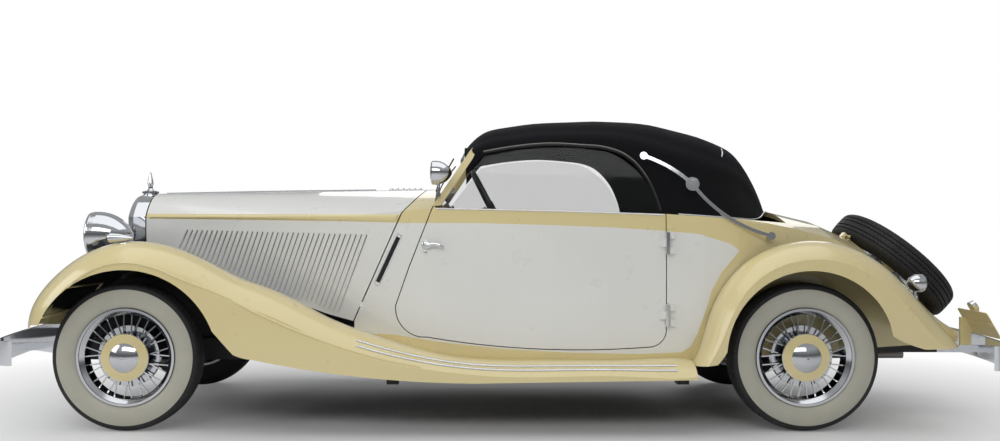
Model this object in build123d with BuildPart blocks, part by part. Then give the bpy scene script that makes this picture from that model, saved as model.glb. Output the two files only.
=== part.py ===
"""Two-door cabriolet of the middle 1930s, as separate pieces with working joints.

Millimetres. The origin is on the ground below the middle of the car: the nose points
to -X, the left-hand side is -Y and +Z is up. Stations are distances behind the front
axle, and every local frame below starts at that axle.
"""
import os
from collections import namedtuple
from math import cos, radians, sin

from build123d import *

os.makedirs("parts", exist_ok=True)

# ---------------------------------------------------------------- driving sizes
WHEELBASE = 3300
TRACK = 1370
FRONT_OVERHANG = 690          # front axle to the bumper's front face
REAR_OVERHANG = 1070          # rear axle to the rear bumper's back face

TYRE_R = 361
TYRE_W = 160
RIM_R = 238                   # over the rim flanges
RIM_W = 132
SPOKE_COUNT = 30
SPOKE_SIZE = 6
HUB_R = 45
HUB_DISC_R = 116
HUB_CAP_R = 71
DRUM_R = 150
DRUM_WALL = 8

STUB_R = 17                   # wheel spindle
KINGPIN_R = 16
KINGPIN_IN = 67               # kingpin inboard of the wheel's middle plane
KNUCKLE_R = 28

FENDER_WALL = 6
ARCH_TOP = 791                # top of the front wheel opening
REAR_ARCH_R = 392
HOUSE_R = 394                 # rear wheelhouse, inside
HOUSE_Y = 580                 # its inner wall's wheel side, from the car's middle
HOUSE_WALL = 8
AXLE_SLOT_W = 120
AXLE_SLOT_TOP = 440

DOOR_TOP_X = 1500              # where the cabin's opening takes over from the door's front edge
DOOR_TOP_Z = 1096
DOOR_GAP = 5
DOOR_WALL = 46
BONNET_WALL = 8
BONNET_GAP = 6
BONNET_SPLIT = 8              # between the two halves, over their hinge rod
STRIP_R = 3                   # hinge rod along the bonnet's crown
TAIL_WALL = 26
LID_GAP = 6
GLASS_T = 5

RAIL_Y = 350                  # frame rail's middle plane
RAIL_W = 50
RAIL_BOTTOM = 300
RAIL_TOP = 410
RAIL_KICK = 152               # rise of the rails over the rear axle
FLOOR_T = 12

TOP_WALL = 14                 # hood cloth with its padding
HEADLAMP_R = 120
HEADLAMP_Y = 420
HEADLAMP_Z = 950

RUNNING = 0.1                 # radial clearance of a turning fit
SEAT = 0.3                    # space between pieces that bear on each other
SKIN_SEAT = 0.8               # the same on the body's long curved skin
SKIN_DROP = 40                # how far that space goes on below the sills
CLEAR = 6                     # space round moving panels

AXLE_X = -(FRONT_OVERHANG + WHEELBASE + REAR_OVERHANG) / 2 + FRONT_OVERHANG
WHEEL_Y = TRACK / 2
KINGPIN_Y = WHEEL_Y - KINGPIN_IN

# ---------------------------------------------------------------- local frames
def side(y=0):
    """Side view, local (station, z); a positive extrude goes to the car's left."""
    return Plane(origin=(AXLE_X, y, 0), x_dir=(1, 0, 0), z_dir=(0, -1, 0))

def plan(z=0):
    """Plan view, local (station, y); a positive extrude goes up."""
    return Plane(origin=(AXLE_X, 0, z), x_dir=(1, 0, 0), z_dir=(0, 0, 1))

def cross(station, z=0, lean=90):
    """Cross-section, local (y, height), its height line leaning back from vertical."""
    back = radians(lean)
    return Plane(origin=(AXLE_X + station, 0, z), x_dir=(0, 1, 0),
                 z_dir=(sin(back), 0, -cos(back)))

def write(piece, label):
    piece.part.label = label
    export_step(piece.part, "parts/" + label + ".step")

def other_side(piece):
    with BuildPart() as twin:
        mirror(piece.part, about=Plane.XZ)
    return twin

# ---------------------------------------------------------------- body surface
# station, half-widths and heights of the sill, the side's fullest line and the belt,
# the crown's height, and the wall behind the skin
BodyRow = namedtuple("BodyRow", "x sill_y sill_z mid_y belt_y belt_z top_z wall")
BODY = [
    BodyRow(-60, 205, 470, 229, 238, 1045, 1173, BONNET_WALL),
    BodyRow(600, 350, 470, 380, 396, 1047, 1182, BONNET_WALL),
    BodyRow(1150, 520, 400, 546, 552, 1056, 1189, BONNET_WALL + 2),
    BodyRow(1500, 622, 345, 645, 642, 1086, 1196, DOOR_WALL),
    BodyRow(2070, 674, 340, 693, 685, 1077, 1190, DOOR_WALL),
    BodyRow(2634, 674, 340, 693, 682, 1058, 1175, DOOR_WALL),
    BodyRow(3000, 640, 345, 672, 652, 1030, 1140, DOOR_WALL),
    BodyRow(3300, 560, 355, 612, 578, 985, 1074, TAIL_WALL),
    BodyRow(3715, 470, 372, 512, 452, 850, 938, TAIL_WALL),
    BodyRow(4231, 330, 385, 352, 290, 424, 462, TAIL_WALL),
]
NOSE_X = BODY[0].x
TAIL_X = BODY[-1].x

BODY_STATIONS = [-60, 600, 1150, 1325, 1500, 1690, 1880, 2070, 2350, 2634, 2820, 3000,
                 3150, 3300, 3510, 3715, 3973, 4231]

def faired(table, stations):
    """Rows at the given stations, on smooth curves through a table's columns."""
    rows = []
    for x in stations:
        i = max(k for k in range(len(table) - 1) if table[k].x <= x)
        a, b = table[i], table[i + 1]
        before = table[max(i - 1, 0)]
        after = table[min(i + 2, len(table) - 1)]
        span = b.x - a.x
        t = (x - a.x) / span
        values = [x]
        for p, q, u, v in list(zip(a, b, before, after))[1:]:
            leave = (q - u) / (b.x - before.x) * span
            arrive = (v - p) / (after.x - a.x) * span
            values.append(p * (1 - t) ** 2 * (1 + 2 * t) + q * t ** 2 * (3 - 2 * t)
                          + leave * t * (1 - t) ** 2 - arrive * t ** 2 * (1 - t))
        rows.append(type(a)(*values))
    return rows

def body_form(grow=0.0, walls=0):
    """Solid inside the skin, moved out by grow, or in to the inner face with walls=1."""
    with BuildPart() as form:
        for row in faired(BODY, BODY_STATIONS):
            out = grow - walls * row.wall
            x = row.x
            if row.x == NOSE_X:
                x = row.x - walls * 10 - max(grow, 0)
            if row.x == TAIL_X:
                x = row.x + out
            half = row.sill_y + out
            bottom = row.sill_z - walls
            drop = SKIN_DROP if grow > 0 else 0
            middle = (row.sill_z + row.belt_z) / 2
            with BuildSketch(cross(x)):
                with BuildLine():
                    Line((-half, bottom - drop), (half, bottom - drop))
                    if drop:
                        Line((half, bottom - drop), (half, bottom))
                        Line((-half, bottom), (-half, bottom - drop))
                    ThreePointArc((half, bottom), (row.mid_y + out, middle),
                                  (row.belt_y + out, row.belt_z))
                    ThreePointArc((row.belt_y + out, row.belt_z), (0, row.top_z + out),
                                  (-row.belt_y - out, row.belt_z))
                    ThreePointArc((-row.belt_y - out, row.belt_z),
                                  (-row.mid_y - out, middle), (-half, bottom))
                make_face()
        loft(ruled=True)
    return form.part

skin = body_form()
lining = body_form(walls=1)
lining_seat = body_form(-SEAT, walls=1)
skin_seat = body_form(SKIN_SEAT)

# side outlines, (station, z)
BONNET_SEAM = [(1085, 515), (1334, 1062), (1478, 1230)]
BONNET_EDGE = [(NOSE_X, 762), (216, 738), (650, 640), (950, 545)]
DOOR_FRONT = [(1491, 1095), (1373, 797), (1303, 600)]
DOOR_FOOT = (1461, 448)
DOOR_BOTTOM = (2160, 392)
DOOR_REAR_FOOT = (2560, 406)
DOOR_REAR_X = 2634
CABIN_REAR_X = 3285

DOOR_LINE = [(1500, 1089), (2070, 1077), (2634, 1058), (3000, 1033)]

def cabin_prism(gap=0.0):
    """Everything above the belt between the windscreen and the rear deck."""
    belt = [(x, z + gap) for x, z in DOOR_LINE]
    rear = CABIN_REAR_X - gap
    with BuildPart() as prism:
        with BuildSketch(side(-900)):
            with BuildLine():
                Polyline(belt + [(rear, 1012 + gap), (rear, 1600), (1500, 1600)],
                         close=True)
            make_face()
        extrude(amount=-1800)
    return prism.part

cabin_cut = cabin_prism()

# the opening in front of the scuttle, and the bonnet that closes it
with BuildPart() as nose_zone:
    with BuildSketch(side(-900)):
        with BuildLine():
            Polyline((NOSE_X - 60, 300), (1082, 300), *BONNET_SEAM, (NOSE_X - 60, 1300),
                     close=True)
        make_face()
    extrude(amount=-1800)

with BuildPart() as bonnet_zone:
    with BuildSketch(side(-900)):
        with BuildLine():
            Polyline(BONNET_EDGE + [(x - 1.1 * BONNET_GAP, z) for x, z in BONNET_SEAM]
                     + [(NOSE_X, 1300)], close=True)
        make_face()
    extrude(amount=-1800)

door_prisms = []
for gap in (0, DOOR_GAP):
    with BuildPart() as prism:
        with BuildSketch(side()):
            with BuildLine():
                Polyline(DOOR_FRONT)
                ThreePointArc(DOOR_FRONT[-1], (1325, 510), DOOR_FOOT)
                ThreePointArc(DOOR_FOOT, DOOR_BOTTOM, DOOR_REAR_FOOT)
                ThreePointArc(DOOR_REAR_FOOT, (2617, 436), (DOOR_REAR_X, 500))
                Line((DOOR_REAR_X, 500), (DOOR_REAR_X, 1200))
                Polyline((DOOR_REAR_X, 1200), (DOOR_TOP_X, 1200), (DOOR_TOP_X, DOOR_TOP_Z),
                         DOOR_FRONT[0])
            make_face()
            if gap:
                offset(amount=gap)
        extrude(amount=900)
    door_prisms.append(prism.part)
door_prism, door_hole = door_prisms

with BuildPart() as shell:
    add(skin)
    add(lining, mode=Mode.SUBTRACT)

# ---------------------------------------------------------------- spare and boot lid
SPARE_SLOPE = 42              # of the tail below the spare
SPARE_X = 3967                # middle of the spare's inner face
SPARE_Z = 712
LID_HALF_W = 300
LID_HALF_L = 330
SPARE_LIFT = 8.5              # spare's inner face above the lid's chord
SPARE_BOSS_R = 36
HUB_IN = 20                   # hub's inner end, from the wheel's middle plane

spare_up = Plane(origin=(AXLE_X + SPARE_X, 0, SPARE_Z),
                 x_dir=(cos(radians(SPARE_SLOPE)), 0, -sin(radians(SPARE_SLOPE))),
                 z_dir=(sin(radians(SPARE_SLOPE)), 0, cos(radians(SPARE_SLOPE))))

LID_PIN = (-LID_HALF_L - LID_GAP / 2, 6)       # lid's hinge line, along its slope and up
LID_PIN_R = 3.5
LID_BARREL_R = 7
LID_BARREL_L = 40
LID_HINGE_Y = 130             # middle of the lid's own barrel
LID_HINGE_FREE = 0.5
LID_LEAF_L = 30
LID_LEAF_DOWN = 26            # from the hinge line to the leaf's foot in the skin

def lid_side(y):
    """Side view along the lid's slope, seen from the left."""
    return Plane(origin=(AXLE_X + SPARE_X, y, SPARE_Z), x_dir=spare_up.x_dir,
                 z_dir=(0, -1, 0))

def lid_barrels(y, turn):
    """A barrel each side on the hinge line, with a leaf down into the skin; turn is 1 for the
    lid's, -1 for the tub's."""
    with BuildPart() as barrels:
        for hand in (-1, 1):
            with BuildSketch(lid_side(hand * y + LID_BARREL_L / 2)):
                with Locations(LID_PIN):
                    Circle(LID_BARREL_R)
                with Locations((LID_PIN[0] + turn * (LID_LEAF_L / 2 + 1), LID_PIN[1] - 3)):
                    Rectangle(LID_LEAF_L, 6)
                with Locations((LID_PIN[0] + turn * (LID_LEAF_L + 1 - 8),
                                LID_PIN[1] - LID_LEAF_DOWN / 2)):
                    Rectangle(16, LID_LEAF_DOWN)
            extrude(amount=LID_BARREL_L)
    return barrels.part

with BuildPart() as lid_prism:
    with BuildSketch(spare_up.offset(-200)):
        RectangleRounded(2 * LID_HALF_L, 2 * LID_HALF_W, 70)
    extrude(amount=320)

with BuildPart() as lid_hole:
    with BuildSketch(spare_up.offset(-200)):
        RectangleRounded(2 * (LID_HALF_L + LID_GAP), 2 * (LID_HALF_W + LID_GAP),
                         70 + LID_GAP)
    extrude(amount=320)

# ---------------------------------------------------------------- body tub
HINGE_Y = 705                 # door hinge line
HINGE_X = DOOR_REAR_X + 8
HINGE_R = 9
HINGE_PIN_R = 5
HINGE_L = 108
HINGE_ZS = [561, 915]
HINGE_MIDDLE = 40             # length of the door's own barrel
HINGE_FREE = 0.5

# the liner that keeps the left rear wheel out of the cabin, with a slot for the axle
with BuildPart() as wheelhouse:
    with BuildSketch(side(HOUSE_WALL - HOUSE_Y)):
        with Locations((WHEELBASE, TYRE_R)):
            Circle(HOUSE_R + HOUSE_WALL)
    extrude(amount=200)
    add(skin, mode=Mode.INTERSECT)
    with BuildSketch(side(-HOUSE_Y)):
        with Locations((WHEELBASE, TYRE_R)):
            Circle(HOUSE_R)
    extrude(amount=200, mode=Mode.SUBTRACT)

with BuildPart() as body_tub:
    add(shell.part)
    add(cabin_cut, mode=Mode.SUBTRACT)
    add(nose_zone.part, mode=Mode.SUBTRACT)
    add(door_hole, mode=Mode.SUBTRACT)
    mirror(door_hole, about=Plane.XZ, mode=Mode.SUBTRACT)
    add(lid_hole.part, mode=Mode.SUBTRACT)
    for hand in (-1, 1):
        with BuildSketch(side(hand * HOUSE_Y)):
            with Locations((WHEELBASE, TYRE_R)):
                Circle(HOUSE_R)
        extrude(amount=-hand * 200, mode=Mode.SUBTRACT)
    add(wheelhouse.part)
    mirror(wheelhouse.part, about=Plane.XZ)
    with BuildSketch(side(900)):
        with Locations((WHEELBASE, AXLE_SLOT_TOP / 2)):
            Rectangle(AXLE_SLOT_W, AXLE_SLOT_TOP)
    extrude(amount=1800, mode=Mode.SUBTRACT)
    for hand in (-1, 1):
        for z in HINGE_ZS:
            end = (HINGE_L - HINGE_MIDDLE) / 2 - HINGE_FREE
            for start in (z - HINGE_L / 2, z + HINGE_MIDDLE / 2 + HINGE_FREE):
                with BuildSketch(plan(start)):
                    with Locations((HINGE_X, hand * HINGE_Y)):
                        Circle(HINGE_R)
                    with Locations((HINGE_X + 19, hand * (HINGE_Y - 14))):
                        Rectangle(30, 24)
                extrude(amount=end)
            with BuildSketch(plan(z - HINGE_MIDDLE / 2 - 5)):
                with Locations((HINGE_X, hand * HINGE_Y)):
                    Circle(HINGE_PIN_R)
            extrude(amount=HINGE_MIDDLE + 10)
    tub_y = LID_HINGE_Y + LID_BARREL_L + LID_HINGE_FREE
    add(lid_barrels(tub_y, -1))
    for hand in (-1, 1):
        with BuildSketch(lid_side(hand * (LID_HINGE_Y + tub_y) / 2 + LID_BARREL_L)):
            with Locations(LID_PIN):
                Circle(LID_PIN_R)
        extrude(amount=2 * LID_BARREL_L)
write(body_tub, "body_tub")

# ---------------------------------------------------------------- doors
with BuildPart() as door_left:
    add(shell.part)
    add(door_prism, mode=Mode.INTERSECT)
    add(cabin_cut, mode=Mode.SUBTRACT)
    for z in HINGE_ZS:
        with BuildSketch(plan(z - HINGE_MIDDLE / 2)):
            with Locations((HINGE_X, -HINGE_Y)):
                Circle(HINGE_R)
            with Locations((HINGE_X - 24, -HINGE_Y + 14)):
                Rectangle(34, 16)
            with Locations((HINGE_X - 6, -HINGE_Y + 3)):
                Rectangle(12, 12)
        extrude(amount=HINGE_MIDDLE)
        with BuildSketch(plan(z - HINGE_MIDDLE / 2)):
            with Locations((HINGE_X, -HINGE_Y)):
                Circle(HINGE_PIN_R + RUNNING)
        extrude(amount=HINGE_MIDDLE, mode=Mode.SUBTRACT)
write(door_left, "door_left")
write(other_side(door_left), "door_right")

# ---------------------------------------------------------------- bonnet halves
with BuildPart() as bonnet_left:
    add(skin)
    add(body_form(-BONNET_WALL), mode=Mode.SUBTRACT)
    add(bonnet_zone.part, mode=Mode.INTERSECT)
    with BuildSketch(side(-BONNET_SPLIT / 2)):
        with Locations((1000, 900)):
            Rectangle(3000, 1800)
    extrude(amount=-900, mode=Mode.SUBTRACT)
write(bonnet_left, "bonnet_left")
write(other_side(bonnet_left), "bonnet_right")

# ---------------------------------------------------------------- boot lid
with BuildPart() as boot_lid:
    add(shell.part)
    add(lid_prism.part, mode=Mode.INTERSECT)
    with BuildSketch(spare_up.offset(-12)):
        Circle(SPARE_BOSS_R)
    extrude(amount=12 + SPARE_LIFT + TYRE_W / 2 - HUB_IN - SEAT)
    add(lid_barrels(LID_HINGE_Y, 1))
    with BuildSketch(lid_side(LID_HINGE_Y + LID_BARREL_L)):
        with Locations(LID_PIN):
            Circle(LID_PIN_R + RUNNING)
    extrude(amount=2 * (LID_HINGE_Y + LID_BARREL_L), mode=Mode.SUBTRACT)
write(boot_lid, "boot_lid")

# ---------------------------------------------------------------- fenders
# Sections of the left-hand fenders. Those at the wheel stand on a point (x, z) near the
# axle and lean round it; the others stand upright on the ground. Then come the lip, the
# bead line, the crown, the inner shoulder and the edge against the body, each as a
# distance from the car's middle and a height on the section's own line.
FenderRow = namedtuple("FenderRow", "x z lean lip_y lip bead_y bead crown_y crown "
                                    "inner_y inner edge_y edge")
FRONT_FENDER = [
    FenderRow(45, 361, 164, 842, 425, 838, 462, 700, 552, 560, 522, 262, 420),
    FenderRow(45, 361, 140, 866, 400, 862, 448, 716, 560, 568, 530, 250, 400),
    FenderRow(45, 361, 115, 870, 395, 866, 458, 720, 560, 570, 530, 240, 385),
    FenderRow(45, 361, 90, 870, 395, 866, 462, 720, 560, 570, 530, 235, 385),
    FenderRow(45, 361, 64, 870, 395, 866, 462, 720, 560, 570, 525, 260, 385),
    FenderRow(600, 0, 90, 869, 340, 867, 618, 720, 716, 565, 692, 330, 615),
    FenderRow(940, 0, 90, 868, 285, 867, 469, 722, 564, 600, 549, 430, 515),
    FenderRow(1260, 0, 90, 868, 255, 867, 358, 730, 443, 650, 438, 530, 430),
    FenderRow(1560, 0, 90, 868, 240, 867, 308, 745, 368, 690, 366, 600, 362),
    FenderRow(1814, 0, 90, 868, 235, 867, 287, 755, 345, 700, 345, 620, 345),
    FenderRow(2120, 0, 90, 868, 235, 867, 287, 755, 345, 700, 345, 620, 345),
    FenderRow(2430, 0, 90, 868, 235, 867, 287, 755, 345, 700, 345, 620, 345),
    FenderRow(2752, 0, 90, 868, 235, 867, 287, 755, 345, 700, 345, 620, 345),
]
REAR_FENDER = [
    FenderRow(3285, 400, 188, 852, 440, 852, 486, 752, 540, 690, 536, 620, 530),
    FenderRow(3285, 400, 165, 866, 360, 866, 412, 745, 470, 685, 467, 620, 460),
    FenderRow(3285, 400, 140, 870, 350, 870, 415, 745, 480, 680, 476, 620, 462),
    FenderRow(3285, 400, 115, 870, 350, 870, 430, 745, 502, 675, 496, 600, 475),
    FenderRow(3285, 400, 90, 870, 350, 870, 440, 745, 522, 665, 515, 540, 480),
    FenderRow(3285, 400, 62, 869, 350, 869, 458, 742, 550, 640, 538, 460, 480),
    FenderRow(3285, 400, 38, 864, 352, 864, 485, 736, 578, 610, 556, 440, 490),
    FenderRow(3285, 400, 18, 852, 375, 852, 535, 725, 636, 580, 606, 410, 530),
    FenderRow(3285, 400, 1, 832, 560, 832, 670, 715, 768, 570, 730, 380, 640),
]

def fender_form(table, grow=0.0, open_below=0):
    """Solid under a fender's skin; open_below lowers its foot to cut the hollow."""
    with BuildPart() as form:
        for row in table:
            lip = (-row.lip_y - grow, row.lip - open_below)
            bead = (-row.bead_y - grow, row.bead)
            crown = (-row.crown_y, row.crown + grow)
            inner = (-row.inner_y, row.inner + grow)
            edge = (-row.edge_y, row.edge + grow)
            with BuildSketch(cross(row.x, row.z, row.lean)):
                with BuildLine():
                    Line(lip, bead)
                    ThreePointArc(bead, crown, inner)
                    Line(inner, edge)
                    Line(edge, lip)
                make_face()
        loft()
    return form.part

with BuildPart() as front_opening:
    with BuildSketch(side(-780)):
        with BuildLine():
            Line((-700, 100), (-700, 512))
            Line((-700, 512), (-381, 527))
            ThreePointArc((-381, 527), (40, ARCH_TOP), (466, 452))
            ThreePointArc((466, 452), (532, 399), (640, 366))
            ThreePointArc((640, 366), (1105, 290), (1700, 254))
            Line((1700, 254), (2900, 272))
            Line((2900, 272), (2900, 100))
            Line((2900, 100), (-700, 100))
        make_face()
    extrude(amount=200)

with BuildPart() as rear_opening:
    with BuildSketch(side(-780)):
        with BuildLine():
            Line((2600, 100), (2600, 272))
            Line((2600, 272), (2870, 290))
            Line((2870, 290), (2893, 389))
            ThreePointArc((2893, 389), (3285, 395 + REAR_ARCH_R), (3684, 480))
            ThreePointArc((3684, 480), (3750, 380), (3900, 334))
            Line((3900, 334), (4200, 322))
            Line((4200, 322), (4200, 100))
            Line((4200, 100), (2600, 100))
        make_face()
    extrude(amount=200)

rear_form = fender_form(REAR_FENDER)
with BuildPart() as rear_fender_left:
    add(rear_form)
    add(fender_form(REAR_FENDER, -FENDER_WALL, 80), mode=Mode.SUBTRACT)
    add(rear_opening.part, mode=Mode.SUBTRACT)
    add(skin_seat, mode=Mode.SUBTRACT)

front_form = fender_form(FRONT_FENDER)
with BuildPart() as front_fender_left:
    add(front_form)
    add(fender_form(FRONT_FENDER, -FENDER_WALL, 80), mode=Mode.SUBTRACT)
    add(front_opening.part, mode=Mode.SUBTRACT)
    add(skin_seat, mode=Mode.SUBTRACT)
    add(fender_form(REAR_FENDER, SEAT), mode=Mode.SUBTRACT)
write(front_fender_left, "front_fender_left")
write(other_side(front_fender_left), "front_fender_right")
write(rear_fender_left, "rear_fender_left")
write(other_side(rear_fender_left), "rear_fender_right")

# ---------------------------------------------------------------- wheels
# The wheel and tyre are drawn about the Y axis with their outer face towards -Y.
FLANGE_T = 6
RIM_WELL_R = 206
HUB_OUT = 58                  # hub flange, outboard of the wheel's middle
DISC_OUT = 74
CAP_OUT = 104
SPINDLE_END = 67
DRUM_IN = 27
DRUM_OUT = 8
PLATE_GAP = 6                 # drum to backing plate
# lace angle of each row of spokes, and where its ends lie across the wheel
SpokeRow = namedtuple("SpokeRow", "lace hub_y rim_y")
SPOKE_ROWS = [SpokeRow(-26, -26, -12), SpokeRow(26, -50, -26)]

def spoke_ends(i):
    """Ends of one spoke; neighbours cross, as on a laced wheel."""
    turn = 360 / SPOKE_COUNT * i
    row = SPOKE_ROWS[i % 2]
    hub = Vector(HUB_R - 3, row.hub_y, 0).rotate(Axis.Y, turn + row.lace)
    rim = Vector(RIM_WELL_R + 4, row.rim_y, 0).rotate(Axis.Y, turn)
    return hub, rim

def wire_wheel(drum=True):
    hub_line = [(0, -SPINDLE_END - 5), (STUB_R + RUNNING, -SPINDLE_END - 5),
                (STUB_R + RUNNING, HUB_IN), (HUB_R - 6, HUB_IN)]
    if drum:
        hub_line += [(HUB_R - 6, 0), (DRUM_R - DRUM_WALL, 0),
                     (DRUM_R - DRUM_WALL, DRUM_IN), (DRUM_R, DRUM_IN),
                     (DRUM_R, -DRUM_OUT)]
    else:
        hub_line += [(HUB_R - 6, -DRUM_OUT)]
    with BuildPart() as wheel:
        with BuildSketch(Plane.XY):
            with BuildLine():
                Polyline(hub_line + [(HUB_R, -DRUM_OUT), (HUB_R, -HUB_OUT),
                                     (HUB_DISC_R, -DISC_OUT + 6), (HUB_DISC_R, -DISC_OUT),
                                     (HUB_CAP_R, -DISC_OUT - 8)])
                TangentArc((0, -CAP_OUT), (HUB_CAP_R, -DISC_OUT - 8), tangent=(1, 0))
                Line((0, -CAP_OUT), (0, -SPINDLE_END - 5))
            make_face()
            with BuildLine():
                Polyline((RIM_WELL_R, -40), (RIM_WELL_R, 40), (RIM_R - 12, RIM_W / 2 - 8),
                         (RIM_R - 12, RIM_W / 2), (RIM_R, RIM_W / 2),
                         (RIM_R, RIM_W / 2 - FLANGE_T),
                         (RIM_R - 6, RIM_W / 2 - FLANGE_T - 2),
                         (RIM_WELL_R + 8, 36), (RIM_WELL_R + 8, -36),
                         (RIM_R - 6, -RIM_W / 2 + FLANGE_T + 2),
                         (RIM_R, -RIM_W / 2 + FLANGE_T), (RIM_R, -RIM_W / 2),
                         (RIM_R - 12, -RIM_W / 2), (RIM_R - 12, -RIM_W / 2 + 8),
                         close=True)
            make_face()
        revolve(axis=Axis.Y)
        for i in range(SPOKE_COUNT):
            hub, rim = spoke_ends(i)
            with BuildSketch(Plane(origin=hub, z_dir=rim - hub)):
                Rectangle(SPOKE_SIZE, SPOKE_SIZE)
            extrude(amount=(rim - hub).length)
    return wheel

wheel = wire_wheel()

with BuildPart() as tyre:
    with BuildSketch(Plane.XY):
        with BuildLine():
            bead_y = RIM_W / 2 - FLANGE_T - SEAT
            Polyline((RIM_R + 0.5, -RIM_W / 2 - 2), (RIM_R + SEAT, -bead_y),
                     (RIM_R - 6, -bead_y + 2.2), (RIM_WELL_R + 8 + SEAT, -35.6),
                     (RIM_WELL_R + 8 + SEAT, 35.6), (RIM_R - 6, bead_y - 2.2),
                     (RIM_R + SEAT, bead_y), (RIM_R + 0.5, RIM_W / 2 + 2))
            ThreePointArc((RIM_R + 0.5, RIM_W / 2 + 2), (300, TYRE_W / 2),
                          (TYRE_R - 16, TYRE_W / 2 - 22))
            ThreePointArc((TYRE_R - 16, TYRE_W / 2 - 22), (TYRE_R, 0),
                          (TYRE_R - 16, -TYRE_W / 2 + 22))
            ThreePointArc((TYRE_R - 16, -TYRE_W / 2 + 22), (300, -TYRE_W / 2),
                          (RIM_R + 0.5, -RIM_W / 2 - 2))
        make_face()
    revolve(axis=Axis.Y)

for axle, x in (("front", AXLE_X), ("rear", AXLE_X + WHEELBASE)):
    for hand, y, turn in (("left", -WHEEL_Y, 0), ("right", WHEEL_Y, 180)):
        spot = Location((x, y, TYRE_R), (0, 0, turn))
        for name, master in (("wheel", wheel), ("tyre", tyre)):
            with BuildPart() as placed:
                with Locations(spot):
                    add(master.part)
            write(placed, name + "_" + axle + "_" + hand)

# the spare lies on the boot lid, its outer face up
spare_spot = Plane(origin=spare_up.origin + spare_up.z_dir * (SPARE_LIFT + TYRE_W / 2),
                   x_dir=spare_up.x_dir, z_dir=(0, 1, 0)).location
for name, master in (("spare_wheel", wire_wheel(drum=False)), ("spare_tyre", tyre)):
    with BuildPart() as placed:
        with Locations(spare_spot):
            add(master.part)
    write(placed, name)

# ---------------------------------------------------------------- frame
RAIL_LINE = [(-420, RAIL_BOTTOM), (2800, RAIL_BOTTOM), (2960, RAIL_BOTTOM + RAIL_KICK),
             (3900, RAIL_BOTTOM + RAIL_KICK), (3900, RAIL_TOP + RAIL_KICK),
             (2940, RAIL_TOP + RAIL_KICK), (2780, RAIL_TOP), (-420, RAIL_TOP)]
CROSS_MEMBERS = [(-390, 0), (300, 0), (800, 0), (1281, 0), (2030, 0), (2753, 0),
                 (3640, RAIL_KICK)]          # station, rise
OUTRIGGERS = [(1281, 700), (2030, 700), (2660, 700), (2753, 540)]   # station, reach
JACK_STATIONS = [1281, 2753]
JACK_Y = 500
JACK_BOTTOM = 195
MEMBER_L = 60
SHAFT_Z = 345
SHAFT_R = 28
BOARD_Z = FRONT_FENDER[-1].crown - FENDER_WALL

with BuildPart() as chassis_frame:
    for hand in (-1, 1):
        with BuildSketch(side(hand * RAIL_Y + RAIL_W / 2)):
            with BuildLine():
                Polyline(RAIL_LINE, close=True)
            make_face()
        extrude(amount=RAIL_W)
    for station, rise in CROSS_MEMBERS:
        with BuildSketch(plan(RAIL_BOTTOM + rise)):
            with Locations((station, 0)):
                Rectangle(MEMBER_L, 2 * RAIL_Y)
        extrude(amount=RAIL_TOP - RAIL_BOTTOM)
    for station, reach in OUTRIGGERS:
        with BuildSketch(plan(RAIL_BOTTOM)):
            with Locations((station, 0)):
                Rectangle(MEMBER_L, 2 * reach)
                Rectangle(MEMBER_L, 2 * RAIL_Y, mode=Mode.SUBTRACT)
        extrude(amount=BOARD_Z - SEAT - RAIL_BOTTOM)
    for station in JACK_STATIONS:
        with BuildSketch(plan(JACK_BOTTOM)):
            with Locations((station, -JACK_Y), (station, JACK_Y)):
                Rectangle(MEMBER_L, 70)
        extrude(amount=RAIL_BOTTOM - JACK_BOTTOM)
    with BuildSketch(cross(1000, SHAFT_Z)):
        Circle(SHAFT_R + 16)
    extrude(amount=2200, mode=Mode.SUBTRACT)
write(chassis_frame, "chassis_frame")

# ---------------------------------------------------------------- front axle
SPRING_L = 602                # half-length of the transverse leaf springs
SPRING_W = 60
EYE_R = 20
# mid height of each spring at the middle and at its ends, half thicknesses, rail face
Spring = namedtuple("Spring", "mid end mid_t end_t rail")
SPRINGS = [Spring(429, 432, 15, 11, RAIL_TOP), Spring(272, 273, 17, 11, RAIL_BOTTOM)]

with BuildPart() as front_suspension:
    for s in SPRINGS:
        with BuildSketch(cross(-SPRING_W / 2)):
            with BuildLine():
                ThreePointArc((-SPRING_L, s.end - s.end_t), (0, s.mid - s.mid_t),
                              (SPRING_L, s.end - s.end_t))
                Line((SPRING_L, s.end - s.end_t), (SPRING_L, s.end + s.end_t))
                ThreePointArc((SPRING_L, s.end + s.end_t), (0, s.mid + s.mid_t),
                              (-SPRING_L, s.end + s.end_t))
                Line((-SPRING_L, s.end + s.end_t), (-SPRING_L, s.end - s.end_t))
            make_face()
        extrude(amount=SPRING_W)
        with BuildSketch(plan(min(s.rail, s.mid))):
            with Locations((0, -RAIL_Y), (0, RAIL_Y)):
                Rectangle(SPRING_W + 30, RAIL_W)
        extrude(amount=abs(s.rail - s.mid))
        with BuildSketch(plan(s.end - s.end_t - 4)):
            with Locations((0, -KINGPIN_Y), (0, KINGPIN_Y)):
                Circle(EYE_R)
        extrude(amount=2 * s.end_t + 8)
    low, high = SPRINGS[1], SPRINGS[0]
    with BuildSketch(plan(low.end)):
        with Locations((0, -KINGPIN_Y), (0, KINGPIN_Y)):
            Circle(KINGPIN_R)
    extrude(amount=high.end - low.end)
write(front_suspension, "front_suspension")

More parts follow.
